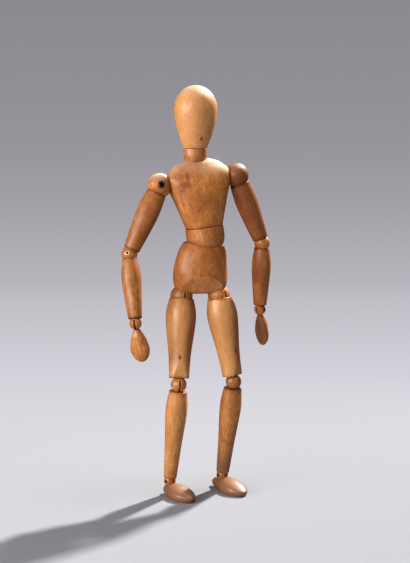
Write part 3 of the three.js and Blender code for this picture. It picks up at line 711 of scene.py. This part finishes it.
# %% Chest
CHEST_EASE = 0.9
CHEST_TOP, CHEST_BOTTOM = 75.6, WAIST.top_at + GAP
CHEST_WIDTHS = [[CHEST_BOTTOM, 18.0], [36.0, 25.6], [57.0, 32.6], [70.0, 22.6], [CHEST_TOP, 8.4]]
CHEST_DEPTHS = [[CHEST_BOTTOM, 18.0], [36.0, 19.6], [57.0, 16.6], [70.0, 10.6], [CHEST_TOP, 4.6]]
CHEST_SQUARE, CHEST_RIB_AT = 2.5, 36.0
SHOULDER_INSET, NECK_AT = 8.8, 79.1


def smooth(value, low, high):
    """Share of the way from low to high, eased as 3 t^2 - 2 t^3."""
    t = np.clip((value - low) / (high - low), 0, 1)
    return t * t * (3 - 2 * t)


def along_spline(stations, height):
    """Value at each height on the smooth curve through stations of height and value."""
    curve = spline(stations, 400)
    return np.interp(height, curve[:, 0], curve[:, 1])


def local_seat(joint_name, at):
    """A joint's centre in millimetres and its axis, seen from a piece's own frame."""
    origin, turn = at
    centre = (np.array(joints[joint_name]["pos_m"]) - origin) @ turn / MM
    return centre, np.array(joints[joint_name]["axis"]) @ turn


def ball_field(p, centre, radius):
    """Below zero outside a sphere: its radius less the distance from its centre."""
    return radius - np.linalg.norm(p - centre, axis=-1)


chest_at = joint_place("chest_turn", across(CHEST_FACING))
shoulder_seats = [local_seat(f"shoulder_turn_{side}", chest_at) for side in SIDES]


def chest_field(p):
    """Squared oval column between two levels, cut by the shoulders' faces and seats and the neck's seat."""
    x, y, z = np.moveaxis(p, -1, 0)
    level = np.clip(z, CHEST_BOTTOM, CHEST_TOP)
    width, depth = along_spline(CHEST_WIDTHS, level), along_spline(CHEST_DEPTHS, level)
    n = 2 + (CHEST_SQUARE - 2) * smooth(level, CHEST_BOTTOM, CHEST_RIB_AT)
    share = (np.abs(x / width) ** n + np.abs(y / depth) ** n) ** (1 / n)
    fields = [(share - 1) * np.minimum(width, depth), CHEST_BOTTOM - z, z - CHEST_TOP]
    for centre, peg in shoulder_seats:
        fields.append(SHOULDER_INSET - (p - centre) @ peg)
    whole = soft_most(CHEST_EASE, *fields)
    for centre, _ in shoulder_seats:
        whole = soft_most(0.4, whole, ball_field(p, centre, SHOULDER.ball / 2 + GAP))
    return soft_most(0.4, whole, ball_field(p, np.array([0, 0, NECK_AT]), NECK.ball / 2 + GAP))


chest_grid = ray_surface(chest_field, np.array([0, 0, 42.0]), 220, 320, 60.0)
lay_wood("chest", [pole_skin(chest_grid)], chest_at, WOOD_SLOT)
print("chest:", spread(chest_grid), "mm")

# %% Pelvis
PELVIS_BASE, PELVIS_RIM = -55.4, -5.3
PELVIS_WIDTHS = [[PELVIS_BASE, 20.0], [-48.0, 25.4], [-35.0, 26.5], [-15.0, 23.4], [PELVIS_RIM, 18.6]]
PELVIS_SHARE, PELVIS_FLAT_HEIGHT, PELVIS_FLAT_BACK, PELVIS_HIP = 0.8, 17.3, 6.0, 26.5
PELVIS_HIP_AT, WAIST_SHIFT, RIM_SHIFT = -35.0, 5.1, 2.4
pelvis_at = joint_place("waist_turn", X_AXIS)
hip_seats = [local_seat(f"hip_turn_{side}", pelvis_at) for side in SIDES]


def pelvis_flat(p):
    """Distance in front of the plane that slopes back from the pelvis's belly to its base."""
    rise = math.atan2(PELVIS_FLAT_HEIGHT, PELVIS_HIP * PELVIS_SHARE - PELVIS_FLAT_BACK)
    return -(p[..., 1] + PELVIS_FLAT_BACK) * math.sin(rise) - (p[..., 2] - PELVIS_BASE) * math.cos(rise)


def pelvis_field(p):
    """Leaning oval column between two levels, cut by the flat in front, the waist's seat and hip seats."""
    x, y, z = np.moveaxis(p, -1, 0)
    x = x + WAIST_SHIFT - RIM_SHIFT * smooth(z, PELVIS_HIP_AT, PELVIS_RIM)
    width = along_spline(PELVIS_WIDTHS, np.clip(z, PELVIS_BASE, PELVIS_RIM))
    oval = (np.hypot(x, y / PELVIS_SHARE) - width) * PELVIS_SHARE
    whole = soft_most(0.7, oval, PELVIS_BASE - z, z - PELVIS_RIM)
    whole = soft_most(0.5, whole, pelvis_flat(p), ball_field(p, np.zeros(3), WAIST.ball / 2 + GAP))
    for centre, _ in hip_seats:
        whole = soft_most(0.4, whole, ball_field(p, centre, HIP.ball / 2 + GAP))
    return whole


pelvis_grid = ray_surface(pelvis_field, np.array([-WAIST_SHIFT, 2.0, -34.0]), 220, 320, 48.0)
lay_wood("pelvis", [pole_skin(pelvis_grid)], pelvis_at, WOOD_SLOT, pelvis_flat)
print("pelvis:", spread(pelvis_grid), "mm")

# %% Hands
Hand = namedtuple("Hand", "length top_at neck mid width widest_at depth_share palm")
HAND = Hand(38.0, 5.6, 5.4, 14.6, 19.4, 24.0, 0.62, 2.4)


def hand_field(p):
    """Turned paddle flattened below its neck, cut by the palm's plane and the wrist's seat."""
    x, y, z = np.moveaxis(p, -1, 0)
    half, widest, top = HAND.width / 2, -HAND.widest_at, -HAND.top_at
    rise = along_spline([[widest, half], [(widest + top) / 2, HAND.mid / 2], [top, HAND.neck / 2]], z)
    drop = np.clip((z - widest) / (HAND.length - HAND.widest_at), -1, 0)
    tip = half * np.sqrt(np.maximum(1 - drop**2, 1e-6))
    squash = 1 + (HAND.depth_share - 1) * smooth(-z, HAND.top_at, HAND.widest_at)
    paddle = np.hypot(x, y / squash) - np.where(z > widest, rise, tip)
    lean = math.atan2(HAND.neck / 2 - HAND.palm, HAND.widest_at - HAND.top_at)
    palm = -(y + HAND.palm) * math.cos(lean) - (z - widest) * math.sin(lean)
    whole = soft_most(0.6, paddle * 0.8, z - top, -HAND.length - z)
    whole = soft_most(0.8, whole, palm)
    return soft_most(0.3, whole, ball_field(p, np.zeros(3), WRIST.ball / 2 + GAP))


hand_grid = ray_surface(hand_field, np.array([0, 0.8, -21.0]), 160, 200, 24.0)
for side in SIDES:
    at = joint_place(f"hand_turn_{side}", across(PALM_FACING[side]))
    lay_wood(f"hand_{side}", [pole_skin(hand_grid)], at, WOOD_SLOT)
print("hand:", spread(hand_grid), "mm")

# %% Feet
Foot = namedtuple("Foot", "toe widest_at width hump toe_height edge point heel_taper ankle")
FOOT = Foot(38.0, 20.0, 21.8, 14.2, 9.6, 4.4, 0.12, 0.58, 14.5)
HEEL = {"right": 10.0, "left": 17.0}


def foot_field(p, heel):
    """Half egg on a flat sole, narrowed to the heel, pointed to the toe, with a crown that slopes forward."""
    x, ahead, z = p[..., 0], -p[..., 1], p[..., 2] + FOOT.ankle
    reach = np.where(ahead > FOOT.widest_at, FOOT.toe - FOOT.widest_at, FOOT.widest_at + heel)
    slope = smooth(ahead, FOOT.widest_at / 2, FOOT.toe)
    crown = FOOT.hump + (FOOT.toe_height - FOOT.hump) * slope - FOOT.edge
    lift = z - FOOT.edge
    toeward = np.clip((ahead - FOOT.widest_at) / reach, -1, 1)
    point = np.where(toeward > 0, np.maximum(1 - toeward**2, 1e-4) ** FOOT.point, 1)
    taper = 1 + (FOOT.heel_taper - 1) * smooth(-toeward, 0, 1)
    share = np.sqrt(
        (2 * x / FOOT.width / point / taper) ** 2 + ((ahead - FOOT.widest_at) / reach) ** 2
        + np.where(lift > 0, lift / crown / point, lift / (2 * FOOT.edge)) ** 2)
    whole = soft_most(0.5, (share - 1) * crown, -z)
    return soft_most(0.3, whole, ball_field(p, np.zeros(3), ANKLE.ball / 2 + GAP))


for side in SIDES:
    one_foot = partial(foot_field, heel=HEEL[side])
    foot_grid = ray_surface(one_foot, np.array([0, -9.0, -12.0]), 200, 260, 44.0)
    at = joint_place(f"foot_turn_{side}", across(FOOT_FACING[side]))
    lay_wood(f"foot_{side}", [pole_skin(foot_grid)], at, WOOD_SLOT)
    print("foot:", side, spread(foot_grid), "mm")

# %% [markdown]
# ## Rivets
# Each ball is held by a hollow rivet with a rolled lip at both ends, or at one end where the other
# stops blind in the wood. It is a ring profile turned about the rivet's axis.

# %% Rivets
BRASS_SLOT, STEEL_SLOT = "rivet_brass", "tang_steel"
SHINE = {"elbow_rivet_right": 0.75}
DULL_SHINE = 0.32
LIP_SHINE = (0.05, 0.35)
metal_pieces = []


def rivet_skin(joint, blind):
    """Ring profile of a tube with a lip at each end, or at one end when it is blind, turned about X."""
    face, hole, tube, lip = rivet_face(joint), joint.hole / 2, joint.rivet / 2, joint.head / 2
    neck = face - joint.lip
    far_lip = [[tube, neck], [lip, neck], [lip, face], [hole, face]]
    far_end = [[tube, blind_end(joint)], [hole, blind_end(joint)]] if blind else far_lip
    outline = np.array([[hole, -face], [lip, -face], [lip, -neck], [tube, -neck], *far_end])
    grid = lathe(sanded(outline, 0.14, 0.16, loop=True), 48)[..., [2, 0, 1]]
    return ring_skin(grid * [-1 if blind < 0 else 1, 1, 1])


def lay_metal(name, node, body, skin, at, slot_name, shine):
    """Puts a metal piece in its place on a body, with an attribute that says how bright each point is."""
    local, quads, tris = skin
    origin, turn = at
    mesh = mesh_of(name, local @ turn.T * MM + origin, quads, tris)
    write_layer(mesh, "shine", np.broadcast_to(shine, len(local)))
    metal_pieces.append(put(name, mesh, body, node, slot_name))


for side in SIDES:
    for title, joint, _ in JOINT_RUN:
        node, body = f"{title}_rivet_{side}", f"{title}_ball_{side}"
        at = joint_place(f"{title}_turn_{side}", rivet_axis(title, side))
        skin = rivet_skin(joint, BLIND.get((title, side), 0))
        # Brightness rises from the hole outwards, so the rivet's hollow gets painted shade.
        from_axis = np.hypot(skin[0][:, 1], skin[0][:, 2])
        lip_share = smooth(from_axis - joint.hole / 2, *LIP_SHINE)
        shine = lip_share * SHINE.get(node, DULL_SHINE)
        lay_metal(node + "_brass", node, body, skin, at, BRASS_SLOT, shine)
print("rivets:", len(metal_pieces))

# %% [markdown]
# ## Tangs and pins
# The tangs of the hands and feet end inside carved blocks whose hidden bores the ray surface leaves
# out, so these four tangs are made afresh and stop at the seat. The other tangs and the two cross
# pins keep the solids' own shape and only get a finish.

# %% Short tangs
TANG_STOP = 0.1


def tang_skin(joint, depth):
    """Flat strip with a round eye: the eye's circle and the strip's sides, two faces and the rivet's hole."""
    eye, half = joint.eye / 2, joint.width / 2
    lean = math.asin(half / eye)
    angle = np.linspace(lean - np.pi / 2, 1.5 * np.pi - lean, 72)
    outline = np.concatenate([
        np.stack([eye * np.cos(angle), eye * np.sin(angle)], 1),
        np.stack([np.full(8, -half), np.linspace(-eye, -depth, 8)], 1),
        np.stack([np.full(8, half), np.linspace(-depth, -eye, 8)], 1),
    ])
    turn = np.linspace(lean - np.pi / 2, 1.5 * np.pi + lean, len(outline), endpoint=False)
    hole = (joint.rivet / 2 + GAP) * np.stack([np.cos(turn), np.sin(turn)], 1)
    rows = [(outline, 0.5), (outline, -0.5), (hole, -0.5), (hole, 0.5)]
    faces = [np.column_stack([np.full(len(line), face * joint.tang), line]) for line, face in rows]
    return ring_skin(np.stack(faces))


for side in SIDES:
    for title, joint, limb in (("wrist", WRIST, "hand"), ("ankle", ANKLE, "foot")):
        node = f"{title}_tang_{side}"
        at = joint_place(f"{limb}_turn_{side}", rivet_axis(title, side))
        skin = tang_skin(joint, joint.ball / 2 - TANG_STOP)
        lay_metal(node + "_steel", node, node, skin, at, STEEL_SLOT, 1.0)
print("metal pieces:", len(metal_pieces))

# %% [markdown]
# ## Shader sums as Python
# A material is a sum on values that change over the surface. Wiring each node by hand hides the sum,
# so one small class wraps a socket and lets Python's own operators add the Math nodes. Any other node
# comes from its one method, which sets the node's settings first and then its inputs.

# %% The wire class


class Wire:
    """One output of a node in a tree, usable in Python sums."""

    def __init__(self, tree, socket=None):
        self.tree, self.socket = tree, socket

    def node(self, kind, inputs=None, out=0, **settings):
        """A new shader node of that kind: settings first, then a value or a wire for each named input."""
        made_node = self.tree.nodes.new("ShaderNode" + kind)
        for key, value in settings.items():
            if key == "stops":
                self.set_stops(made_node.color_ramp, value)
            else:
                setattr(made_node, key, value)
        for key, value in (inputs or {}).items():
            if isinstance(value, Wire):
                self.tree.links.new(value.socket, made_node.inputs[key])
            else:
                made_node.inputs[key].default_value = value
        return Wire(self.tree, made_node.outputs[out])

    @staticmethod
    def set_stops(ramp, stops):
        """Places and colours of a ramp's stops."""
        while len(ramp.elements) < len(stops):
            ramp.elements.new(1.0)
        for element, (at, colour) in zip(ramp.elements, stops):
            element.position, element.color = at, colour

    def out(self, name):
        """Another output of the same node."""
        return Wire(self.tree, self.socket.node.outputs[name])

    def math(self, operation, *values):
        """A Math node on the given values or wires."""
        return self.node("Math", dict(enumerate(values)), operation=operation)

    def layer(self, title, out="Vector"):
        """What a mesh stores under a title."""
        return self.node("Attribute", out=out, attribute_name=title)

    def parts(self):
        """The three numbers of a vector."""
        first = self.node("SeparateXYZ", {0: self})
        return first, first.out("Y"), first.out("Z")

    def __add__(self, other):
        return self.math("ADD", self, other)

    def __radd__(self, other):
        return self.math("ADD", other, self)

    def __sub__(self, other):
        return self.math("SUBTRACT", self, other)

    def __rsub__(self, other):
        return self.math("SUBTRACT", other, self)

    def __mul__(self, other):
        return self.math("MULTIPLY", self, other)

    def __rmul__(self, other):
        return self.math("MULTIPLY", other, self)

    def __truediv__(self, other):
        return self.math("DIVIDE", self, other)

    def __rtruediv__(self, other):
        return self.math("DIVIDE", other, self)

    def span(self, low, high):
        """Share of the way from low to high, eased and held between 0 and 1."""
        return self.node("MapRange", {0: self, 1: low, 2: high}, interpolation_type="SMOOTHSTEP")

    def stretched(self, factors):
        """A vector times three factors."""
        return self.node("VectorMath", {0: self, 1: factors}, operation="MULTIPLY")

    def noise(self, detail=2.0, roughness=0.5):
        """Soft noise from 0 to 1 at a vector, with features about one unit across."""
        inputs = {"Vector": self, "Scale": 1.0, "Detail": detail, "Roughness": roughness}
        return self.node("TexNoise", inputs)

    def blend(self, first, second):
        """Colour that goes from the first to the second as this value goes from 0 to 1."""
        return self.node("Mix", {0: self, 6: first, 7: second}, 2, data_type="RGBA")


def start_material(name):
    """An empty node material with its shader and output joined."""
    material = bpy.data.materials.new(name)
    material.use_nodes = True
    tree = material.node_tree
    tree.nodes.clear()
    shader = tree.nodes.new("ShaderNodeBsdfPrincipled")
    output = tree.nodes.new("ShaderNodeOutputMaterial")
    tree.links.new(shader.outputs[0], output.inputs[0])
    return material, Wire(tree), shader


def feed(shader, tree, **wires):
    """Joins wires to the shader's inputs: underscores stand for spaces."""
    for key, wire in wires.items():
        tree.links.new(wire.socket, shader.inputs[key.replace("_", " ")])


print("wire operators ready")

# %% [markdown]
# ## Honey-coloured wood
# The real figure is a pale hardwood under an old satin varnish that has gone to honey. Growth rings
# are cylinders round the heart of the log, so the ring pattern is the distance from that heart, bent
# by slow noise and pushed aside near knots. Long thin noise gives the fibres, short dashes give the
# flecks, and slow blotches give the uneven varnish. Handling has darkened some patches and worn the
# feet. Painted shade darkens the rims, a few pieces and long patches on the shaded sides of some
# limbs. Painted light adds highlights and makes the downward flats paler, and the faces that look up
# carry dust with a whitish painted highlight. Where varnish is left it is a thin glossy coat.

# %% Wood
# The pale colour also paints highlights and light, the fleck and stain colours also paint shade, and the haze
# colour is dust with a whitish painted highlight.
WOOD_LIGHT = (0.590, 0.232, 0.052, 1)
WOOD_MID = (0.430, 0.140, 0.022, 1)
WOOD_LATE = (0.270, 0.068, 0.007, 1)
WOOD_FLECK_AND_SHADE = (0.140, 0.030, 0.003, 1)
WOOD_KNOT = (0.030, 0.009, 0.003, 1)
WOOD_STAIN_AND_SHADE = (0.230, 0.042, 0.005, 1)
WOOD_PALE_AND_LIT = (0.760, 0.400, 0.150, 1)
WOOD_WORN = (0.185, 0.088, 0.042, 1)
WOOD_DUST_AND_SHEEN = (0.640, 0.490, 0.370, 1)


def wood_material(name, ring_width, ring_share):
    """Rings from the distance to the log's heart, fibres and flecks from stretched noise, and the marks."""
    material, wire, shader = start_material(name)
    grain = wire.layer("grain")
    knot_far, stain_and_shade, tone_and_painted_light = wire.layer("marks").parts()
    worn, upward, matt = wire.layer("wear").parts()

    def noise(across_grain, along_grain, detail, roughness=0.5):
        """Noise at the grain's place, finer across the grain than along it."""
        return grain.stretched((across_grain, across_grain, along_grain)).noise(detail, roughness)

    sway = noise(0.035, 0.007, 2).out("Color").stretched((9.0, 9.0, 0.0))
    across_x, across_y, _ = wire.node("VectorMath", {0: grain, 1: sway}, operation="ADD").parts()
    near_knot = 1 - knot_far.span(0.0, 11.0)
    heart = wire.math("SQRT", across_x * across_x + across_y * across_y) + near_knot * 7.0
    phase = wire.math("FRACT", heart / ring_width + noise(0.5, 0.03, 2) * 0.35)
    late = phase.span(0.30, 0.88) * (1 - phase.span(0.90, 1.0))
    cloud = noise(0.060, 0.034, 3).span(0.34, 0.68)
    blotch = noise(0.150, 0.075, 4, 0.65).span(0.44, 0.72)
    rubbed = noise(0.190, 0.110, 4, 0.65).span(0.52, 0.76)
    mottle = noise(0.520, 0.300, 3, 0.6).span(0.42, 0.70)
    streak = noise(0.340, 0.020, 3).span(0.50, 0.74)
    fibre = noise(1.7, 0.075, 3, 0.6)
    dash = noise(1.25, 0.20, 1).span(0.61, 0.72)
    ragged = noise(0.22, 0.10, 4, 0.65)
    # Stain patches include painted shade; dust on upward faces carries a whitish painted highlight.
    stain_and_shade_patch = (stain_and_shade + (ragged - 0.5) * 0.9 * wire.math("SQRT", stain_and_shade)).span(0.12, 0.75)
    dust_and_sheen = upward * (0.25 + ragged * 0.70)
    # Coats of colour: a positive tone paints light and highlights, a negative tone paints shade.
    colour = cloud.blend(WOOD_LIGHT, WOOD_MID)
    coats = (
        (blotch * 0.80, WOOD_LATE), (rubbed * 0.46, WOOD_PALE_AND_LIT), (late * ring_share, WOOD_LATE),
        (streak * 0.36, WOOD_LATE), (mottle * 0.66, WOOD_LATE), (fibre.span(0.46, 0.72) * 0.28, WOOD_LATE),
        (dash * 0.36, WOOD_FLECK_AND_SHADE), (wire.math("MAXIMUM", tone_and_painted_light, 0.0), WOOD_PALE_AND_LIT),
        (0 - wire.math("MINIMUM", tone_and_painted_light, 0.0), WOOD_FLECK_AND_SHADE), (worn * (0.55 + ragged * 0.75), WOOD_WORN),
        (stain_and_shade_patch * 0.80, WOOD_STAIN_AND_SHADE), (dust_and_sheen * 0.85, WOOD_DUST_AND_SHEEN),
        ((1 - knot_far.span(0.4, 2.2)) * 0.6, WOOD_FLECK_AND_SHADE), (1 - knot_far.span(0.40, 1.05), WOOD_KNOT),
    )
    for share, paint in coats:
        colour = share.blend(colour, paint)
    rough = 0.48 + fibre * 0.12 + blotch * 0.10 + dash * 0.10 + stain_and_shade_patch * 0.06
    height = fibre * 0.5 - dash * 0.5 - late * 0.25 - (1 - knot_far.span(0.3, 1.2)) * 1.5
    bump = wire.node("Bump", {"Height": height, "Strength": 0.25, "Distance": 0.00022})
    coat = 0.62 * (1 - matt) * (1 - dust_and_sheen) * (1 - blotch * 0.35)
    feed(shader, wire.tree, Base_Color=colour, Roughness=rough, Coat_Weight=coat, Normal=bump)
    shader.inputs["Coat Roughness"].default_value = 0.27
    shader.inputs["Specular IOR Level"].default_value = 0.35
    return material


limb_wood = wood_material("satin_limb_wood", 2.7, 0.16)
ball_wood = wood_material("satin_ball_wood", 2.1, 0.22)
for piece in made.values():
    piece.data.materials.append(ball_wood if piece["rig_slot"] == JOINT_SLOT else limb_wood)
print("wooden pieces:", len(made))

# %% [markdown]
# ## Rivet brass and tang steel
# The rivets are old yellow brass, bright on the lip, with painted shade that makes the hollow nearly
# black. The tangs are dull flat steel. Both get their unevenness from noise in object coordinates.

# %% Metals


def metal_material(name, bright, dull_and_shade, rough):
    """Two tones of one metal mixed by noise and by brightness, with fine scratches; the dark tone also paints
    shade in hollows.
    """
    material, wire, shader = start_material(name)
    coords = wire.node("TexCoord", out="Object")
    shine = wire.layer("shine", "Fac")
    wear = coords.stretched((900.0, 900.0, 900.0)).noise(3).span(0.35, 0.65)
    scratch = coords.stretched((4200.0, 1500.0, 4200.0)).noise(2)
    colour = (shine * (1 - wear * 0.5)).blend(dull_and_shade, bright)
    bump = wire.node("Bump", {"Height": scratch, "Strength": 0.2, "Distance": 0.00005})
    rough_now = rough + scratch * 0.18 + (1 - shine) * 0.25
    feed(shader, wire.tree, Base_Color=colour, Roughness=rough_now, Normal=bump)
    shader.inputs["Metallic"].default_value = 1.0
    return material


# The brass's dark tone is painted shade for the rivet's hollow.
brass = metal_material("aged_rivet_brass", (0.74, 0.60, 0.34, 1), (0.045, 0.030, 0.018, 1), 0.24)
steel = metal_material("dull_tang_steel", (0.13, 0.11, 0.095, 1), (0.06, 0.05, 0.042, 1), 0.45)
for piece in metal_pieces:
    piece.data.materials.append(brass if piece["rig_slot"] == BRASS_SLOT else steel)
kept_nodes = [node for node in frame["nodes"].values() if not node.hide_render]
for node in kept_nodes:
    node.data.materials.clear()
    node.data.materials.append(steel)
print("solids kept as they are:", len(kept_nodes))

# %% [markdown]
# ## Studio
# The figure stands on a pale sheet that sweeps up behind it, so the photograph has no horizon. The
# sheet is a profile, a floor, a quarter bend and a wall, carried sideways. Near the figure it is plain
# paper that takes the shadow. Further off, and only for the camera, it glows at the level that the
# photograph has there, so it needs no lamps of its own. Reflections see it dark, which keeps a pale
# veil off the varnish.

# %% Sweep
BEND_AT, BEND_RADIUS, WALL_TOP, FLOOR_NEAR, SWEEP_HALF = 2.0, 1.2, 4.0, -4.0, 5.0
OFF_SIDE, OFF_NEAR = 0.6, 0.3


def sweep_profile():
    """Distance away and height along the sheet: straight floor, quarter circle, straight wall."""
    floor = np.stack([np.linspace(FLOOR_NEAR, BEND_AT, 60), np.zeros(60)], 1)
    angle = np.linspace(0, np.pi / 2, 40)[1:]
    bend = np.stack([BEND_AT + BEND_RADIUS * np.sin(angle), BEND_RADIUS * (1 - np.cos(angle))], 1)
    wall = np.stack([np.full(20, BEND_AT + BEND_RADIUS), np.linspace(BEND_RADIUS, WALL_TOP, 21)[1:]], 1)
    return np.concatenate([floor, bend, wall])


view_turn = math.radians(VIEW_TURN)
profile = sweep_profile()
run = np.concatenate([[0], np.cumsum(np.linalg.norm(np.diff(profile, axis=0), axis=1))])
sideways = np.linspace(-SWEEP_HALF, SWEEP_HALF, 41)
grid = np.broadcast_arrays(sideways[None, :], profile[:, :1], profile[:, 1:])
sheet_points = np.stack(grid, -1).reshape(-1, 3)
view_side = np.array([math.cos(view_turn), math.sin(view_turn), 0.0])
view_away = np.array([-math.sin(view_turn), math.cos(view_turn), 0.0])
ahead = np.stack([view_side, view_away, [0, 0, 1]])
width = len(sideways)
corner = np.arange(len(profile) - 1)[:, None] * width + np.arange(width - 1)[None, :]
sheet_quads = np.stack([corner, corner + 1, corner + 1 + width, corner + width], -1).reshape(-1, 4)
sheet_mesh = mesh_of("studio_sheet", sheet_points @ ahead, sheet_quads, np.zeros((0, 3), int))
write_layer(sheet_mesh, "run", np.repeat(run + FLOOR_NEAR, width))
off_view = np.maximum(np.abs(sheet_points[:, 0]) - OFF_SIDE, -sheet_points[:, 1] - OFF_NEAR)
write_layer(sheet_mesh, "off", off_view)
studio = link("studio_sheet", sheet_mesh)
studio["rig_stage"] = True
print("sheet points:", len(sheet_points))

# %% Sheet finish
RUN_LOW, RUN_HIGH = -0.3, 3.7
DISTANT = (0.42, 0.41, 0.44, 1)
LEVELS = [
    (-0.3, 0.71), (0.4, 0.69), (0.62, 0.665), (0.92, 0.615), (1.34, 0.565), (1.95, 0.505), (2.42, 0.435),
    (2.73, 0.36), (2.98, 0.315), (3.2, 0.29), (3.6, 0.26),
]
# The paper is darker on the right: painted shade that evens out the stronger light of the nearer key lamp.
PAPER_LEFT, PAPER_RIGHT = (0.236, 0.240, 0.259, 1), (0.205, 0.208, 0.225, 1)
MIRRORED = (0.06, 0.06, 0.062, 1)
material, wire, shader = start_material("pale_studio_sheet")
along, off = wire.layer("run", "Fac"), wire.layer("off", "Fac")
share = wire.node("MapRange", {0: along, 1: RUN_LOW, 2: RUN_HIGH})
stops = [((at - RUN_LOW) / (RUN_HIGH - RUN_LOW), (v, 0.97 * v, 1.06 * v, 1)) for at, v in LEVELS]
tint = wire.node("ValToRGB", {0: share}, stops=stops)
tint = off.span(0.4, 3.2).blend(tint, DISTANT)
aside = wire.node("TexCoord", out="Object").parts()[0].span(-0.5, 0.5)
feed(shader, wire.tree, Base_Color=aside.blend(PAPER_LEFT, PAPER_RIGHT))
shader.inputs["Roughness"].default_value = 0.9
shader.inputs["Specular IOR Level"].default_value = 0.1
path = wire.node("LightPath")
seen = wire.math("MAXIMUM", path, path.out("Is Transmission Ray"))
far = seen * wire.math("MAXIMUM", along.span(0.06, 0.70), off.span(0.0, 0.9))
glow = wire.node("Emission", {"Color": tint, "Strength": 1.0})
mixed = wire.node("MixShader", {0: far, 1: Wire(wire.tree, shader.outputs[0]), 2: glow})
low = wire.node("Emission", {"Color": MIRRORED, "Strength": 1.0})
mixed = wire.node("MixShader", {0: path.out("Is Glossy Ray"), 1: mixed, 2: low})
output = next(node for node in wire.tree.nodes if node.bl_idname == "ShaderNodeOutputMaterial")
wire.tree.links.new(mixed.socket, output.inputs[0])
sheet_mesh.materials.append(material)
print("sheet finish made of", len(stops), "stops")

# %% [markdown]
# ## Light and camera
# Lamps are placed by the camera's own left and right, so they follow the photograph. The main light is
# far behind the figure on the right and about 45 degrees high, which throws the long shadow to the
# front left. Two soft lights on the left and one above fill the front. The world is pale for the
# camera only, a dim grey for what it lights, and darker still for reflections.

# %% Lamps
pelvis_point = np.mean([joints[f"hip_turn_{side}"]["pos_m"] for side in SIDES], axis=0)
TARGET = np.array([pelvis_point[0], pelvis_point[1], 0.2])


def lamp(name, side, away, up, size, watts, tint):
    """A square lamp aimed at the figure's middle, placed from there to the camera's right, away and up."""
    data = bpy.data.lights.new(name, "AREA")
    data.size, data.energy, data.color = size, watts, tint
    holder = link(name, data)
    offset = side * view_side + away * view_away + np.array([0, 0, up])
    holder.location = TARGET + offset
    holder.rotation_mode = "QUATERNION"
    holder.rotation_quaternion = Vector(-offset).to_track_quat("-Z", "Y")


WARM, COOL = (1.0, 0.97, 0.93), (0.92, 0.96, 1.0)
lamp("key_back_right", 1.50, 1.77, 2.40, 0.21, 365.0, WARM)
lamp("soft_left", -1.45, -0.70, 0.40, 0.6, 21.0, WARM)
lamp("fill_left", -0.95, -1.25, 0.45, 0.9, 19.0, WARM)
lamp("soft_above", 0.35, -0.05, 1.30, 0.45, 8.0, COOL)
DIM_AIR, DARK_AIR = (0.10, 0.10, 0.108, 1), (0.03, 0.03, 0.031, 1)
world = bpy.data.worlds.new("studio_world")
bpy.context.scene.world = world
world.use_nodes = True
world.node_tree.nodes.clear()
air = Wire(world.node_tree)
path = air.node("LightPath")
seen = air.math("MAXIMUM", path, path.out("Is Transmission Ray"))
dim = path.out("Is Glossy Ray").blend(DIM_AIR, DARK_AIR)
sky = air.node("Background", {"Color": seen.blend(dim, DISTANT), "Strength": 1.0})
end = world.node_tree.nodes.new("ShaderNodeOutputWorld")
world.node_tree.links.new(sky.socket, end.inputs[0])

# %% Camera
IMAGE_HEIGHT, FOCAL_PIXELS, SENSOR = 563, 1193.0, 36.0
CAMERA_FROM_PELVIS = np.array([-0.1960, -1.1380, 0.0])
CAMERA_HEIGHT, CAMERA_PITCH = 0.319, math.radians(5.45)
lens = bpy.data.cameras.new("photo_camera")
lens.sensor_fit = "VERTICAL"
lens.sensor_width = lens.sensor_height = SENSOR
lens.lens = FOCAL_PIXELS * SENSOR / IMAGE_HEIGHT
camera = link("photo_camera", lens)
camera.location = pelvis_point * [1, 1, 0] + CAMERA_FROM_PELVIS + [0, 0, CAMERA_HEIGHT]
gaze = view_away * math.cos(CAMERA_PITCH) - np.array([0, 0, math.sin(CAMERA_PITCH)])
camera.rotation_mode = "QUATERNION"
camera.rotation_quaternion = Vector(gaze).to_track_quat("-Z", "Y")
bpy.context.scene.camera = camera
bpy.context.scene.view_settings.view_transform = "Standard"
print("lens", round(lens.lens, 2), "mm")

# %% Sizes and finish
bpy.context.view_layer.update()
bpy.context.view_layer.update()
triangles = sum(len(piece.data.polygons) * 2 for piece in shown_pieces() if piece.type == "MESH")
print("triangles, about:", triangles)
